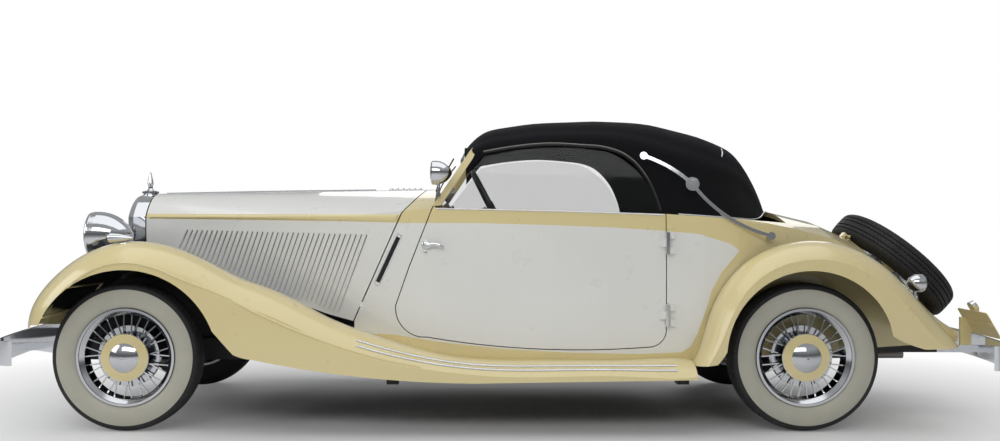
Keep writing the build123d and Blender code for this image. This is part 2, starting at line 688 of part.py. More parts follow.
PLATE_R = DRUM_R - 5
PLATE_T = 6
PLATE_Y = WHEEL_Y - DRUM_IN - PLATE_GAP        # outer face of the backing plate
with BuildPart() as knuckle_left:
    foot = low.end + low.end_t + 4 + CLEAR
    head = high.end - high.end_t - 4 - CLEAR
    with BuildSketch(plan(foot)):
        with Locations((0, -KINGPIN_Y)):
            Circle(KNUCKLE_R)
    extrude(amount=head - foot)
    with BuildSketch(side(-KINGPIN_Y - 20)):
        with Locations((0, TYRE_R)):
            Circle(STUB_R)
    extrude(amount=WHEEL_Y + SPINDLE_END - KINGPIN_Y - 20)
    with BuildSketch(side(-PLATE_Y + PLATE_T)):
        with Locations((0, TYRE_R)):
            Circle(PLATE_R)
    extrude(amount=PLATE_T)
    with BuildSketch(plan(foot)):
        with Locations((90, -KINGPIN_Y + 10)):
            Rectangle(150, 16)
    extrude(amount=16)
    with BuildSketch(plan(foot)):
        with Locations((0, -KINGPIN_Y)):
            Circle(KINGPIN_R + RUNNING)
    extrude(amount=head - foot, mode=Mode.SUBTRACT)
write(knuckle_left, "knuckle_left")
write(other_side(knuckle_left), "knuckle_right")

# ---------------------------------------------------------------- rear axle, drive line
DIFF_R = 120
DIFF_HALF = 105
NOSE_L = 80
TUBE_R = 34
with BuildPart() as rear_axle:
    with BuildSketch(side(DIFF_HALF)):
        with Locations((WHEELBASE, TYRE_R)):
            Circle(DIFF_R)
    extrude(amount=2 * DIFF_HALF)
    fillet(rear_axle.edges().filter_by(GeomType.CIRCLE), 40)
    with BuildSketch(side(PLATE_Y)):
        with Locations((WHEELBASE, TYRE_R)):
            Circle(TUBE_R)
    extrude(amount=2 * PLATE_Y)
    with BuildSketch(side(WHEEL_Y + SPINDLE_END)):
        with Locations((WHEELBASE, TYRE_R)):
            Circle(STUB_R)
    extrude(amount=2 * (WHEEL_Y + SPINDLE_END))
    for start in (-PLATE_Y + PLATE_T, PLATE_Y):
        with BuildSketch(side(start)):
            with Locations((WHEELBASE, TYRE_R)):
                Circle(PLATE_R)
        extrude(amount=PLATE_T)
    with BuildSketch(cross(WHEELBASE - DIFF_R - NOSE_L, TYRE_R)):
        Circle(50)
    extrude(amount=NOSE_L + 40)
    with BuildSketch(plan(TYRE_R)):
        with Locations((WHEELBASE, -RAIL_Y), (WHEELBASE, RAIL_Y)):
            Circle(24)
    extrude(amount=RAIL_BOTTOM + RAIL_KICK - TYRE_R)
    for level in range(6):
        with BuildSketch(plan(TYRE_R + TUBE_R - 2 + 10 * level)):
            with Locations((WHEELBASE, -RAIL_Y), (WHEELBASE, RAIL_Y)):
                Circle(46)
        extrude(amount=6)
write(rear_axle, "rear_axle")

ENGINE_X = (180, 880)
ENGINE_TOP = 960
FIREWALL_X = 1340
with BuildPart() as engine_and_gearbox:
    with BuildSketch(plan(RAIL_TOP)):
        with Locations((sum(ENGINE_X) / 2, 0)):
            Rectangle(ENGINE_X[1] - ENGINE_X[0], 300)
    extrude(amount=ENGINE_TOP - RAIL_TOP)
    with BuildSketch(plan(320)):
        with Locations((550, 0)):
            Rectangle(420, 220)
    extrude(amount=RAIL_TOP - 320)
    with BuildSketch(cross(ENGINE_X[1], 470)):
        Circle(110)
    with BuildSketch(cross(1100, 470)):
        Circle(58)
    loft()
    with BuildSketch(plan(SHAFT_Z - SHAFT_R - 8)):
        with Locations((1160, 0)):
            Rectangle(130, 120)
    extrude(amount=200)
    with BuildSketch(cross(1220, SHAFT_Z)):
        Circle(SHAFT_R)
    extrude(amount=WHEELBASE - DIFF_R - NOSE_L - SEAT - 1220)
write(engine_and_gearbox, "engine_and_gearbox")

PIPE_R = 24
PIPE_Y = 210
PIPE_Z = 250
SILENCER_R = 48
with BuildPart() as exhaust:
    with BuildLine() as route:
        FilletPolyline((AXLE_X + 700, PIPE_Y, 560), (AXLE_X + 700, PIPE_Y, PIPE_Z),
                       (AXLE_X + 4180, PIPE_Y, PIPE_Z), radius=90)
    with BuildSketch(Plane(origin=route.line @ 0, z_dir=route.line % 0)):
        Circle(PIPE_R)
    sweep()
    with BuildSketch(plan(600)):
        with Locations((480, 175)):
            Rectangle(500, 50)
    extrude(amount=80)
    with BuildSketch(plan(550)):
        with Locations((700, PIPE_Y - 10)):
            Circle(PIPE_R + 6)
    extrude(amount=80)
    with BuildSketch(cross(1480, PIPE_Z)):
        with Locations((PIPE_Y, 0)):
            Circle(SILENCER_R)
    extrude(amount=620)
    with BuildSketch(plan(PIPE_Z)):
        with Locations((2753, PIPE_Y)):
            Rectangle(20, 40)
    extrude(amount=RAIL_BOTTOM - PIPE_Z)
write(exhaust, "exhaust")

with BuildPart() as fuel_tank:
    with BuildSketch(plan(440)):
        with Locations((3670 + 145, 0)):
            Rectangle(290, 620)
    extrude(amount=120)
    fillet(fuel_tank.edges().filter_by(Axis.Y), 30)
write(fuel_tank, "fuel_tank")

# ---------------------------------------------------------------- floor and firewall
with BuildPart() as floor_and_firewall:
    with BuildSketch(side(800)):
        with BuildLine():
            Polyline((FIREWALL_X, RAIL_TOP), (2780, RAIL_TOP), (2940, RAIL_TOP + RAIL_KICK),
                     (4040, RAIL_TOP + RAIL_KICK), (4040, RAIL_TOP + RAIL_KICK + FLOOR_T),
                     (2935, RAIL_TOP + RAIL_KICK + FLOOR_T), (2775, RAIL_TOP + FLOOR_T),
                     (FIREWALL_X + FLOOR_T, RAIL_TOP + FLOOR_T), (FIREWALL_X + FLOOR_T, 1300),
                     (FIREWALL_X, 1300), close=True)
        make_face()
    extrude(amount=1600)
    add(lining_seat, mode=Mode.INTERSECT)
    for hand in (-1, 1):
        with BuildSketch(side(hand * (HOUSE_Y - HOUSE_WALL - SEAT))):
            with Locations((WHEELBASE, TYRE_R)):
                Circle(HOUSE_R + HOUSE_WALL + SEAT)
        extrude(amount=-hand * 200, mode=Mode.SUBTRACT)
write(floor_and_firewall, "floor_and_firewall")

# ---------------------------------------------------------------- radiator
SHELL_FRONT_X = -160
SHELL_T = 30
GRILLE_X = -132
GRILLE_T = 30
BAR_COUNT = 19
BAR_W = 6
BAR_DEPTH = 16
CAP_X = -112

def nose_sketch(station, inset, foot):
    row = BODY[0]
    with BuildSketch(cross(station)) as face:
        with BuildLine():
            sill, belt = row.sill_y - inset, row.belt_y - inset
            middle = (row.sill_z + row.belt_z) / 2
            Line((-sill, foot), (sill, foot))
            ThreePointArc((sill, foot), (row.mid_y - inset, middle), (belt, row.belt_z))
            ThreePointArc((belt, row.belt_z), (0, row.top_z - inset), (-belt, row.belt_z))
            ThreePointArc((-belt, row.belt_z), (-row.mid_y + inset, middle), (-sill, foot))
        make_face()
    return face.sketch

CAP_PROFILE = [(0, 1150), (38, 1150), (38, 1174), (45, 1177), (45, 1186), (20, 1192),
               (12, 1204), (12, 1214), (17, 1232)]
with BuildPart() as radiator_shell:
    loft([nose_sketch(SHELL_FRONT_X, 12, RAIL_TOP).faces()[0],
          nose_sketch(SHELL_FRONT_X + 30, 0, RAIL_TOP).faces()[0]], ruled=True)
    extrude(nose_sketch(SHELL_FRONT_X + 30, 0, RAIL_TOP).faces()[0],
            amount=NOSE_X - BONNET_GAP - SHELL_FRONT_X - 30)
    extrude(nose_sketch(SHELL_FRONT_X - 10, SHELL_T, RAIL_TOP + 60).faces()[0], amount=300,
            mode=Mode.SUBTRACT)
    with BuildSketch(side()):
        with BuildLine():
            Polyline([(CAP_X + r, z) for r, z in CAP_PROFILE])
            ThreePointArc((CAP_X + 17, 1232), (CAP_X + 12, 1264), (CAP_X + 4, 1293))
            Polyline((CAP_X + 4, 1293), (CAP_X, 1296), (CAP_X, 1150))
        make_face()
    revolve(axis=Axis((AXLE_X + CAP_X, 0, 0), (0, 0, 1)))
    # the hinge strip of the bonnet runs back along the crown
    hinge_from = Vector(AXLE_X + NOSE_X - 30, 0, BODY[0].top_z - 2)
    hinge_to = Vector(AXLE_X + BONNET_SEAM[-1][0] - 35, 0, BODY[3].top_z - STRIP_R)
    with BuildSketch(Plane(origin=hinge_from, z_dir=hinge_to - hinge_from)):
        Circle(STRIP_R)
    extrude(amount=(hinge_to - hinge_from).length)
write(radiator_shell, "radiator_shell")

with BuildPart() as grille_bars:
    with BuildSketch(plan(RAIL_TOP + 90)):
        with Locations((GRILLE_X - BAR_DEPTH / 2 + 2, 0)):
            with GridLocations(0, 380 / (BAR_COUNT - 1), 1, BAR_COUNT):
                Rectangle(BAR_DEPTH + 4, BAR_W)
    extrude(amount=620)
    extrude(nose_sketch(GRILLE_X - 40, SHELL_T + 3, RAIL_TOP + 60 + SEAT).faces()[0],
            amount=100, mode=Mode.INTERSECT)

with BuildPart() as radiator_grille:
    extrude(nose_sketch(GRILLE_X, SHELL_T + SEAT, RAIL_TOP + 60 + SEAT).faces()[0],
            amount=GRILLE_T)
    add(grille_bars.part)
write(radiator_grille, "radiator_grille")

with BuildPart() as front_apron:
    with BuildSketch(side(230)):
        with BuildLine():
            Polyline((SHELL_FRONT_X - SEAT, 418), (-340, 418), (-405, 455), (-402, 463),
                     (-338, 424), (SHELL_FRONT_X - SEAT, 424), close=True)
        make_face()
    extrude(amount=460)
    with BuildSketch(plan(RAIL_TOP)):
        with Locations((-300, -150), (-300, 150)):
            Circle(12)
        with Locations((-390, -150), (-390, 150)):
            Circle(12)
    extrude(amount=16)
write(front_apron, "front_apron")

# ---------------------------------------------------------------- bumpers
# plan of a blade's outer face: middle, bend and end, and the blade's height and middle
Blade = namedtuple("Blade", "sign mid_x bend_x bend_y end_x end_y z")
BLADE_H = 118
BLADE_T = 16
ARM_T = 12
FRONT_BLADE = Blade(1, -FRONT_OVERHANG, -632, 690, -530, 838, 391)
REAR_BLADE = Blade(-1, WHEELBASE + REAR_OVERHANG, 4300, 690, 4190, 838, 367)
FRONT_ARM = [(-420, 318), (-600, 345), (-690, 345), (-690, 385), (-600, 385), (-420, 392)]
REAR_ARM = [(3720, 452), (3880, 452), (3880, 372), (4400, 372), (4400, 335), (3840, 335),
            (3720, 380)]

def bumper(blade, arm):
    with BuildPart() as piece:
        for hand in (-1, 1):
            with BuildSketch(side(hand * RAIL_Y + ARM_T / 2)):
                with BuildLine():
                    Polyline(arm, close=True)
                make_face()
            extrude(amount=ARM_T)
        with BuildSketch(plan(blade.z - BLADE_H)):
            with BuildLine():
                ThreePointArc((blade.bend_x, -blade.bend_y), (blade.mid_x, 0),
                              (blade.bend_x, blade.bend_y))
                for hand in (-1, 1):
                    far = blade.mid_x - blade.sign * 400
                    Line((blade.bend_x, hand * blade.bend_y), (far, hand * blade.bend_y))
                Line((far, -blade.bend_y), (far, blade.bend_y))
            make_face()
        extrude(amount=2 * BLADE_H, mode=Mode.SUBTRACT)
        with BuildSketch(plan(blade.z - BLADE_H / 2)):
            with BuildLine():
                for t in (0, blade.sign * BLADE_T):
                    ThreePointArc((blade.bend_x + t, -blade.bend_y), (blade.mid_x + t, 0),
                                  (blade.bend_x + t, blade.bend_y))
                    for hand in (-1, 1):
                        ThreePointArc((blade.bend_x + t, hand * blade.bend_y),
                                      ((blade.bend_x + blade.end_x) / 2 - blade.sign * 22 + t,
                                       hand * (blade.bend_y * 0.36 + blade.end_y * 0.64)),
                                      (blade.end_x + t, hand * (blade.end_y - abs(t) * 0.6)))
                for hand in (-1, 1):
                    Line((blade.end_x, hand * blade.end_y),
                         (blade.end_x + blade.sign * BLADE_T,
                          hand * (blade.end_y - BLADE_T * 0.6)))
            make_face()
        extrude(amount=BLADE_H)
    return piece

front_bumper = bumper(FRONT_BLADE, FRONT_ARM)
write(front_bumper, "front_bumper")
rear_bumper = bumper(REAR_BLADE, REAR_ARM)
write(rear_bumper, "rear_bumper")

# ---------------------------------------------------------------- lamps
BAR_X = -190
BAR_Z = 800
HORN_Y = 285
HORN_Z = 745
front_seat_form = fender_form(FRONT_FENDER, SEAT)
with BuildPart() as headlamps:
    with BuildSketch(side(600)):
        with Locations((BAR_X, BAR_Z)):
            Circle(16)
    extrude(amount=1200)
    for hand in (-1, 1):
        with BuildSketch(side(hand * HEADLAMP_Y)):
            with BuildLine():
                Polyline((-274, HEADLAMP_Z), (-274, HEADLAMP_Z + 104),
                         (-266, HEADLAMP_Z + HEADLAMP_R), (-240, HEADLAMP_Z + HEADLAMP_R))
                ThreePointArc((-240, HEADLAMP_Z + HEADLAMP_R), (-130, HEADLAMP_Z + 82),
                              (-70, HEADLAMP_Z + 12))
                Polyline((-70, HEADLAMP_Z + 12), (-68, HEADLAMP_Z), (-274, HEADLAMP_Z))
            make_face()
        revolve(axis=Axis((0, hand * HEADLAMP_Y, HEADLAMP_Z), (1, 0, 0)))
        with BuildSketch(plan(BAR_Z)):
            with Locations((BAR_X, hand * HEADLAMP_Y)):
                Circle(17)
        extrude(amount=80)
    add(front_seat_form, mode=Mode.SUBTRACT)
    mirror(front_seat_form, about=Plane.XZ, mode=Mode.SUBTRACT)
write(headlamps, "headlamps")

with BuildPart() as horns:
    for hand in (-1, 1):
        with BuildSketch(side(hand * HORN_Y)):
            with BuildLine():
                Polyline((-178, HORN_Z), (-178, HORN_Z + 26), (-215, HORN_Z + 26))
                ThreePointArc((-215, HORN_Z + 26), (-265, HORN_Z + 30), (-300, HORN_Z + 50))
                Polyline((-300, HORN_Z + 50), (-304, HORN_Z + 48), (-250, HORN_Z),
                         (-178, HORN_Z))
            make_face()
        revolve(axis=Axis((0, hand * HORN_Y, HORN_Z), (1, 0, 0)))
        with BuildSketch(plan(HORN_Z)):
            with Locations((BAR_X, hand * HORN_Y)):
                Circle(8)
        extrude(amount=BAR_Z - HORN_Z)
    with BuildSketch(side(600)):
        with Locations((BAR_X, BAR_Z)):
            Circle(16 + SEAT)
    extrude(amount=1200, mode=Mode.SUBTRACT)
write(horns, "horns")

SIDE_LAMP_X = -31
SIDE_LAMP_Z = 941
with BuildPart() as side_lamps:
    for hand in (-1, 1):
        y = hand * FRONT_FENDER[3].crown_y
        with BuildSketch(side(y)):
            with BuildLine():
                Polyline((SIDE_LAMP_X - 58, SIDE_LAMP_Z), (SIDE_LAMP_X - 58, SIDE_LAMP_Z + 20),
                         (SIDE_LAMP_X - 50, SIDE_LAMP_Z + 24))
                ThreePointArc((SIDE_LAMP_X - 50, SIDE_LAMP_Z + 24),
                              (SIDE_LAMP_X + 15, SIDE_LAMP_Z + 17),
                              (SIDE_LAMP_X + 60, SIDE_LAMP_Z + 3))
                Polyline((SIDE_LAMP_X + 60, SIDE_LAMP_Z + 3), (SIDE_LAMP_X + 62, SIDE_LAMP_Z),
                         (SIDE_LAMP_X - 58, SIDE_LAMP_Z))
            make_face()
        revolve(axis=Axis((0, y, SIDE_LAMP_Z), (1, 0, 0)))
        with BuildSketch(plan(SIDE_LAMP_Z - 40)):
            with Locations((SIDE_LAMP_X, y)):
                Ellipse(30, 9)
        extrude(amount=34)
    add(front_seat_form, mode=Mode.SUBTRACT)
    mirror(front_seat_form, about=Plane.XZ, mode=Mode.SUBTRACT)
write(side_lamps, "side_lamps")

TAIL_LAMP = (3906, 600, 713)
rear_seat_form = fender_form(REAR_FENDER, SEAT)
with BuildPart() as tail_lamps:
    x, lamp_y, z = TAIL_LAMP
    for hand in (-1, 1):
        y = hand * lamp_y
        with BuildSketch(side(y)):
            with BuildLine():
                Polyline((x + 34, z), (x + 34, z + 38), (x + 24, z + 45), (x + 8, z + 45))
                ThreePointArc((x + 8, z + 45), (x - 36, z + 30), (x - 50, z + 6))
                Polyline((x - 50, z + 6), (x - 51, z), (x + 34, z))
            make_face()
        revolve(axis=Axis((0, y, z), (1, 0, 0)))
        with BuildSketch(plan(z - 170)):
            with Locations((x - 12, y)):
                Circle(9)
        extrude(amount=140)
    add(rear_seat_form, mode=Mode.SUBTRACT)
    mirror(rear_seat_form, about=Plane.XZ, mode=Mode.SUBTRACT)
write(tail_lamps, "tail_lamps")

# plate bracket on the left-hand bumper arm, with the plate's lamp over it
PLATE_W = 300
PLATE_H = 150
PLATE_HOLE_PITCH = 180
PLATE_HOLE_R = 3.5
plate_face = Plane(origin=(AXLE_X + 4286, -465, 500), x_dir=(0, 1, 0),
                   z_dir=(cos(radians(30)), 0, sin(radians(30))))
with BuildPart() as number_plate_bracket:
    with BuildSketch(plate_face):
        RectangleRounded(PLATE_W, PLATE_H, 12)
        with GridLocations(PLATE_HOLE_PITCH, 0, 2, 1):
            Circle(PLATE_HOLE_R, mode=Mode.SUBTRACT)
    extrude(amount=-4)
    with BuildSketch(side(-RAIL_Y + 8)):
        with BuildLine():
            Polyline((4242, 372 + SEAT), (4300, 372 + SEAT), (4300, 440), (4317, 441),
                     (4272, 519), (4242, 519), close=True)
        make_face()
    extrude(amount=16)
    with BuildSketch(plate_face.offset(-4)):
        RectangleRounded(PLATE_W - 40, 30, 8)
        with GridLocations(PLATE_HOLE_PITCH, 0, 2, 1):
            Circle(PLATE_HOLE_R, mode=Mode.SUBTRACT)
    extrude(amount=-4)
    with BuildSketch(plate_face.offset(-4)):
        with Locations((0, PLATE_H / 2 - 12)):
            Rectangle(26, 20)
    extrude(amount=30)
    with BuildSketch(plate_face.offset(4)):
        with Locations((0, PLATE_H / 2 + 14)):
            Circle(30)
    extrude(amount=24)
write(number_plate_bracket, "number_plate_bracket")

# ---------------------------------------------------------------- windscreen
SCREEN_X = 1478
SCREEN_Z = 1088
SCREEN_RAKE = 34
SCREEN_BASE_Y = 612
SCREEN_TOP_Y = 560
SCREEN_SIDE_H = 346
SCREEN_CROWN_H = 482
FRAME_W = 44
FRAME_T = 34
rake = radians(SCREEN_RAKE)
screen = Plane(origin=(AXLE_X + SCREEN_X, 0, SCREEN_Z), x_dir=(0, 1, 0),
               z_dir=(cos(rake), 0, -sin(rake)))      # its normal points back and down

def screen_face(inset, foot=-40, depth=0):
    with BuildSketch(screen.offset(depth)) as face:
        with BuildLine():
            base = (SCREEN_BASE_Y - inset, foot)
            top = (SCREEN_TOP_Y - inset, SCREEN_SIDE_H - inset * 0.6)
            Line((-base[0], base[1]), base)
            Line(base, top)
            ThreePointArc(top, (0, SCREEN_CROWN_H - inset), (-top[0], top[1]))
            Line((-top[0], top[1]), (-base[0], base[1]))
        make_face()
    return face.sketch.faces()[0]

with BuildPart() as windscreen_frame:
    extrude(screen_face(0), amount=FRAME_T)
    extrude(screen_face(FRAME_W, 150), amount=FRAME_T, mode=Mode.SUBTRACT)
    add(skin_seat, mode=Mode.SUBTRACT)
write(windscreen_frame, "windscreen_frame")

with BuildPart() as windscreen_glass:
    extrude(screen_face(FRAME_W + SEAT, 150 + SEAT, 12), amount=GLASS_T)
write(windscreen_glass, "windscreen_glass")

# ---------------------------------------------------------------- door glass
glass_lean = radians(8)
out = Vector(-0.0367, -0.9993, 0)
door_pane = Plane(origin=(AXLE_X, -572, 1088), x_dir=(0.9993, -0.0367, 0),
                  z_dir=out * cos(glass_lean) + Vector(0, 0, 1) * sin(glass_lean))

def window_prism(gap, foot_gap):
    with BuildPart() as prism:
        with BuildSketch(side(-400)):
            with BuildLine():
                Polyline((1540, 1089), (1741, 1345))
                ThreePointArc((1741, 1345), (2071, 1389), (2360, 1365))
                ThreePointArc((2360, 1365), (2529, 1240), (2613, 1062))
                Polyline((2613, 1062), (2613, 900), (1540, 900), (1540, 1089))
            make_face()
            if gap:
                offset(amount=gap)
        extrude(amount=700)
        with BuildSketch(side(-400)):
            with BuildLine():
                Polyline([(1400, 0)] + [(x, z + foot_gap) for x, z in
                         [(1400, 1091)] + DOOR_LINE] + [(3000, 0)], close=True)
            make_face()
        extrude(amount=700, mode=Mode.SUBTRACT)
    return prism.part

with BuildPart() as door_glass_left:
    with BuildSketch(door_pane.offset(-GLASS_T)):
        with Locations((2080, 150)):
            Rectangle(1500, 700)
    extrude(amount=GLASS_T)
    add(window_prism(0, SEAT), mode=Mode.INTERSECT)
write(door_glass_left, "door_glass_left")
write(other_side(door_glass_left), "door_glass_right")

# ---------------------------------------------------------------- hood
TopRow = namedtuple("TopRow", "x base_y base_z rail_y rail_z crown_z")
TOP = [
    TopRow(1640, 606, 1040, 560, 1370, 1478),
    TopRow(1842, 640, 1040, 575, 1400, 1533),
    TopRow(2066, 660, 1040, 586, 1424, 1559),
    TopRow(2289, 668, 1030, 590, 1432, 1567),
    TopRow(2560, 672, 1000, 588, 1424, 1563),
    TopRow(2764, 668, 1000, 580, 1395, 1528),
    TopRow(2950, 654, 990, 560, 1340, 1474),
    TopRow(3078, 632, 985, 530, 1275, 1408),
    TopRow(3184, 596, 975, 480, 1120, 1224),
    TopRow(3312, 520, 960, 420, 985, 1036),
]

def top_form(grow=0.0):
    with BuildPart() as form:
        for row in TOP:
            x = row.x
            if x == TOP[0].x:
                x = x + min(grow, 0)
            if x == TOP[-1].x:
                x = x + grow
            base = (row.base_y + grow, row.base_z)
            rail = (row.rail_y + grow, row.rail_z)
            shoulder = (row.rail_y * 0.86 + grow, row.rail_z + (row.crown_z - row.rail_z) * 0.56)
            with BuildSketch(cross(x)):
                with BuildLine():
                    Line((-base[0], base[1]), base)
                    Line(base, rail)
                    ThreePointArc(rail, (row.rail_y * 0.955 + grow * 0.8,
                                         (rail[1] + shoulder[1]) / 2 + 12 + grow * 0.3),
                                  (shoulder[0], shoulder[1] + grow * 0.7))
                    ThreePointArc((shoulder[0], shoulder[1] + grow * 0.7),
                                  (0, row.crown_z + grow),
                                  (-shoulder[0], shoulder[1] + grow * 0.7))
                    ThreePointArc((-shoulder[0], shoulder[1] + grow * 0.7),
                                  (-row.rail_y * 0.955 - grow * 0.8,
                                   (rail[1] + shoulder[1]) / 2 + 12 + grow * 0.3),
                                  (-rail[0], rail[1]))
                    Line((-rail[0], rail[1]), (-base[0], base[1]))
                make_face()
        loft(ruled=True)
    return form.part

with BuildPart() as deck_below:
    add(skin_seat)
    add(cabin_prism(SEAT), mode=Mode.SUBTRACT)

top_outer = top_form()
with BuildPart() as soft_top:
    add(top_outer)
    add(top_form(-TOP_WALL), mode=Mode.SUBTRACT)
    extrude(screen_face(-300, -600, -400), amount=400 + FRAME_T + SEAT, mode=Mode.SUBTRACT)
    add(window_prism(12, -30), mode=Mode.SUBTRACT)
    mirror(window_prism(12, -30), about=Plane.XZ, mode=Mode.SUBTRACT)
    with BuildSketch(side(900)):
        with BuildLine():
            Polyline((1300, 0), (1300, 1093), (2070, 1083), (DOOR_REAR_X + CLEAR, 1064),
                     (DOOR_REAR_X + CLEAR, 1058 + SEAT), (3000, 1033 + SEAT),
                     (CABIN_REAR_X, 1012 + SEAT), (CABIN_REAR_X, 0), close=True)
        make_face()
    extrude(amount=1800, mode=Mode.SUBTRACT)
    add(deck_below.part, mode=Mode.SUBTRACT)
write(soft_top, "soft_top")

# S-shaped irons lie beside the hood, from the roof's rear bow to the body
IRON_T = 12
IRON_W = 15
IRON_Y = 676
IRON_Z = 949
IRON_FRONT = (2535, 400)      # station and height above the lower ball
IRON_KNOB = (2773, 258)
IRON_REAR = (3155, 0)
lean_in = radians(7.2)
iron_side = Plane(origin=(AXLE_X, -IRON_Y, IRON_Z), x_dir=(1, 0, 0),
                  z_dir=(0, -cos(lean_in), sin(lean_in)))
with BuildPart() as iron_left:
    with BuildSketch(iron_side):
        with BuildLine():
            for t in (-IRON_W / 2, IRON_W / 2):
                ThreePointArc((IRON_FRONT[0] + t * 0.4, IRON_FRONT[1] + t),
                              (2668 + t * 0.6, 338 + t), (IRON_KNOB[0] + t * 0.7, IRON_KNOB[1] + t))
                ThreePointArc((IRON_KNOB[0] + t * 0.7, IRON_KNOB[1] + t), (2925 + t * 0.6, 106 + t),
                              (IRON_REAR[0] + t * 0.3, IRON_REAR[1] + t))
            for end, k in ((IRON_FRONT, 0.4), (IRON_REAR, 0.3)):
                Line((end[0] - k * IRON_W / 2, end[1] - IRON_W / 2),
                     (end[0] + k * IRON_W / 2, end[1] + IRON_W / 2))
        make_face()
        with Locations(IRON_FRONT, IRON_REAR):
            Circle(19)
        with Locations(IRON_KNOB):
            Circle(34)
    extrude(amount=IRON_T)
    with BuildSketch(iron_side.offset(1)):
        with Locations(IRON_FRONT, IRON_REAR, IRON_KNOB):
            Circle(11)
    extrude(amount=-80)
    add(top_form(SEAT), mode=Mode.SUBTRACT)
    add(skin_seat, mode=Mode.SUBTRACT)
with BuildPart() as landau_irons:
    for solid in iron_left.part.solids():
        if solid.volume > 100000:
            add(solid)
            mirror(solid, about=Plane.XZ)
write(landau_irons, "landau_irons")

# ---------------------------------------------------------------- cabin
WHEEL_X = 1782
WHEEL_Z = 1092
COLUMN_Y = 350
RIM_MAJOR = 205
RIM_MINOR = 13
COLUMN_R = 18
PIN_R = 10
column_tilt = radians(27)
column_up = Vector(cos(column_tilt), 0, sin(column_tilt))
helm = Plane(origin=(AXLE_X + WHEEL_X, -COLUMN_Y, WHEEL_Z), x_dir=(0, 1, 0),
             z_dir=column_up)

with BuildPart() as dashboard:
    with BuildSketch(side(800)):
        with BuildLine():
            Polyline((1560, 940), (1590, 935), (1575, 1085), (1528, 1150), (1515, 1140),
                     (1548, 1075), close=True)
        make_face()
    extrude(amount=1600)
    add(lining_seat, mode=Mode.INTERSECT)
    with BuildSketch(helm.offset(-22)):
        Circle(COLUMN_R)
    extrude(amount=-440)
    with BuildSketch(helm.offset(-30)):
        Circle(PIN_R)
    extrude(amount=38)
    with BuildSketch(side(900)):
        with Locations((FIREWALL_X - 200 + FLOOR_T + SEAT, 900)):
            Rectangle(400, 1800)
    extrude(amount=1800, mode=Mode.SUBTRACT)
write(dashboard, "dashboard")

with BuildPart() as steering_wheel:
    with BuildSketch(helm.offset(-16)):
        Circle(30)
    extrude(amount=38)
    with BuildSketch(Plane(origin=helm.origin, x_dir=(0, 1, 0),
                           z_dir=(-sin(column_tilt), 0, cos(column_tilt)))):
        with Locations((RIM_MAJOR, 0)):
            Circle(RIM_MINOR)
    revolve(axis=Axis(helm.origin, column_up))
    with BuildSketch(helm.offset(-4)):
        with PolarLocations(RIM_MAJOR / 2 + 8, 4, 45):
            Rectangle(RIM_MAJOR - 22, 16)
    extrude(amount=7)
    with BuildSketch(helm.offset(-16)):
        Circle(PIN_R + RUNNING)
    extrude(amount=26, mode=Mode.SUBTRACT)
write(steering_wheel, "steering_wheel")

FLOOR_TOP = RAIL_TOP + FLOOR_T + SEAT
with BuildPart() as front_seats:
    for hand in (-1, 1):
        with BuildSketch(side(hand * 300 + 250)):
            with BuildLine():
                Polyline((1990, FLOOR_TOP), (1960, 640), (2010, 675), (2370, 640),
                         (2440, 1060), (2500, 1080), (2560, 1040), (2520, 560),
                         (2480, FLOOR_TOP), close=True)
            make_face()
        extrude(amount=500)
    fillet(front_seats.edges().filter_by(Axis.Y).sort_by(Axis.Z)[-6:], 22)
write(front_seats, "front_seats")

SEAT_RISE = RAIL_TOP + RAIL_KICK + FLOOR_T + SEAT
with BuildPart() as rear_seat:
    with BuildSketch(side(520)):
        with BuildLine():
            Polyline((2690, FLOOR_TOP), (2768, FLOOR_TOP), (2928, SEAT_RISE),
                     (3210, SEAT_RISE), (3230, 960), (3170, 985), (3120, 950),
                     (3080, 720), (2760, 735), (2700, 700), close=True)
        make_face()
    extrude(amount=1040)
    fillet(rear_seat.edges().filter_by(Axis.Y).sort_by(Axis.Z)[-4:], 18)
write(rear_seat, "rear_seat")

# ---------------------------------------------------------------- search lamp
LAMP_C = (1535, 655, 1262)
LAMP_R = 60
with BuildPart() as search_lamp:
    x, lamp_y, z = LAMP_C
    with BuildSketch(side(-lamp_y)):
        with BuildLine():
            Polyline((x - 55, z), (x - 55, z + 50), (x - 48, z + LAMP_R), (x - 34, z + LAMP_R))
            ThreePointArc((x - 34, z + LAMP_R), (x + 22, z + 42), (x + 48, z + 8))
            Polyline((x + 48, z + 8), (x + 50, z), (x - 55, z))
        make_face()
    revolve(axis=Axis((0, -lamp_y, z), (1, 0, 0)))
    with BuildSketch(plan(1150)):
        with Locations((x - 18, -lamp_y)):
            Circle(8)
    extrude(amount=90)
    with BuildSketch(side(-SCREEN_BASE_Y + 30)):
        with Locations((x - 18, 1154)):
            Circle(12)
    extrude(amount=lamp_y - SCREEN_BASE_Y + 38)
    extrude(screen_face(SEAT * -1, -40, -200), amount=200 + FRAME_T + SEAT,
            mode=Mode.SUBTRACT)
write(search_lamp, "search_lamp")
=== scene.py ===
"""Two-door convertible car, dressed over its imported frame."""

import math

import bpy
from mathutils import Matrix, Vector


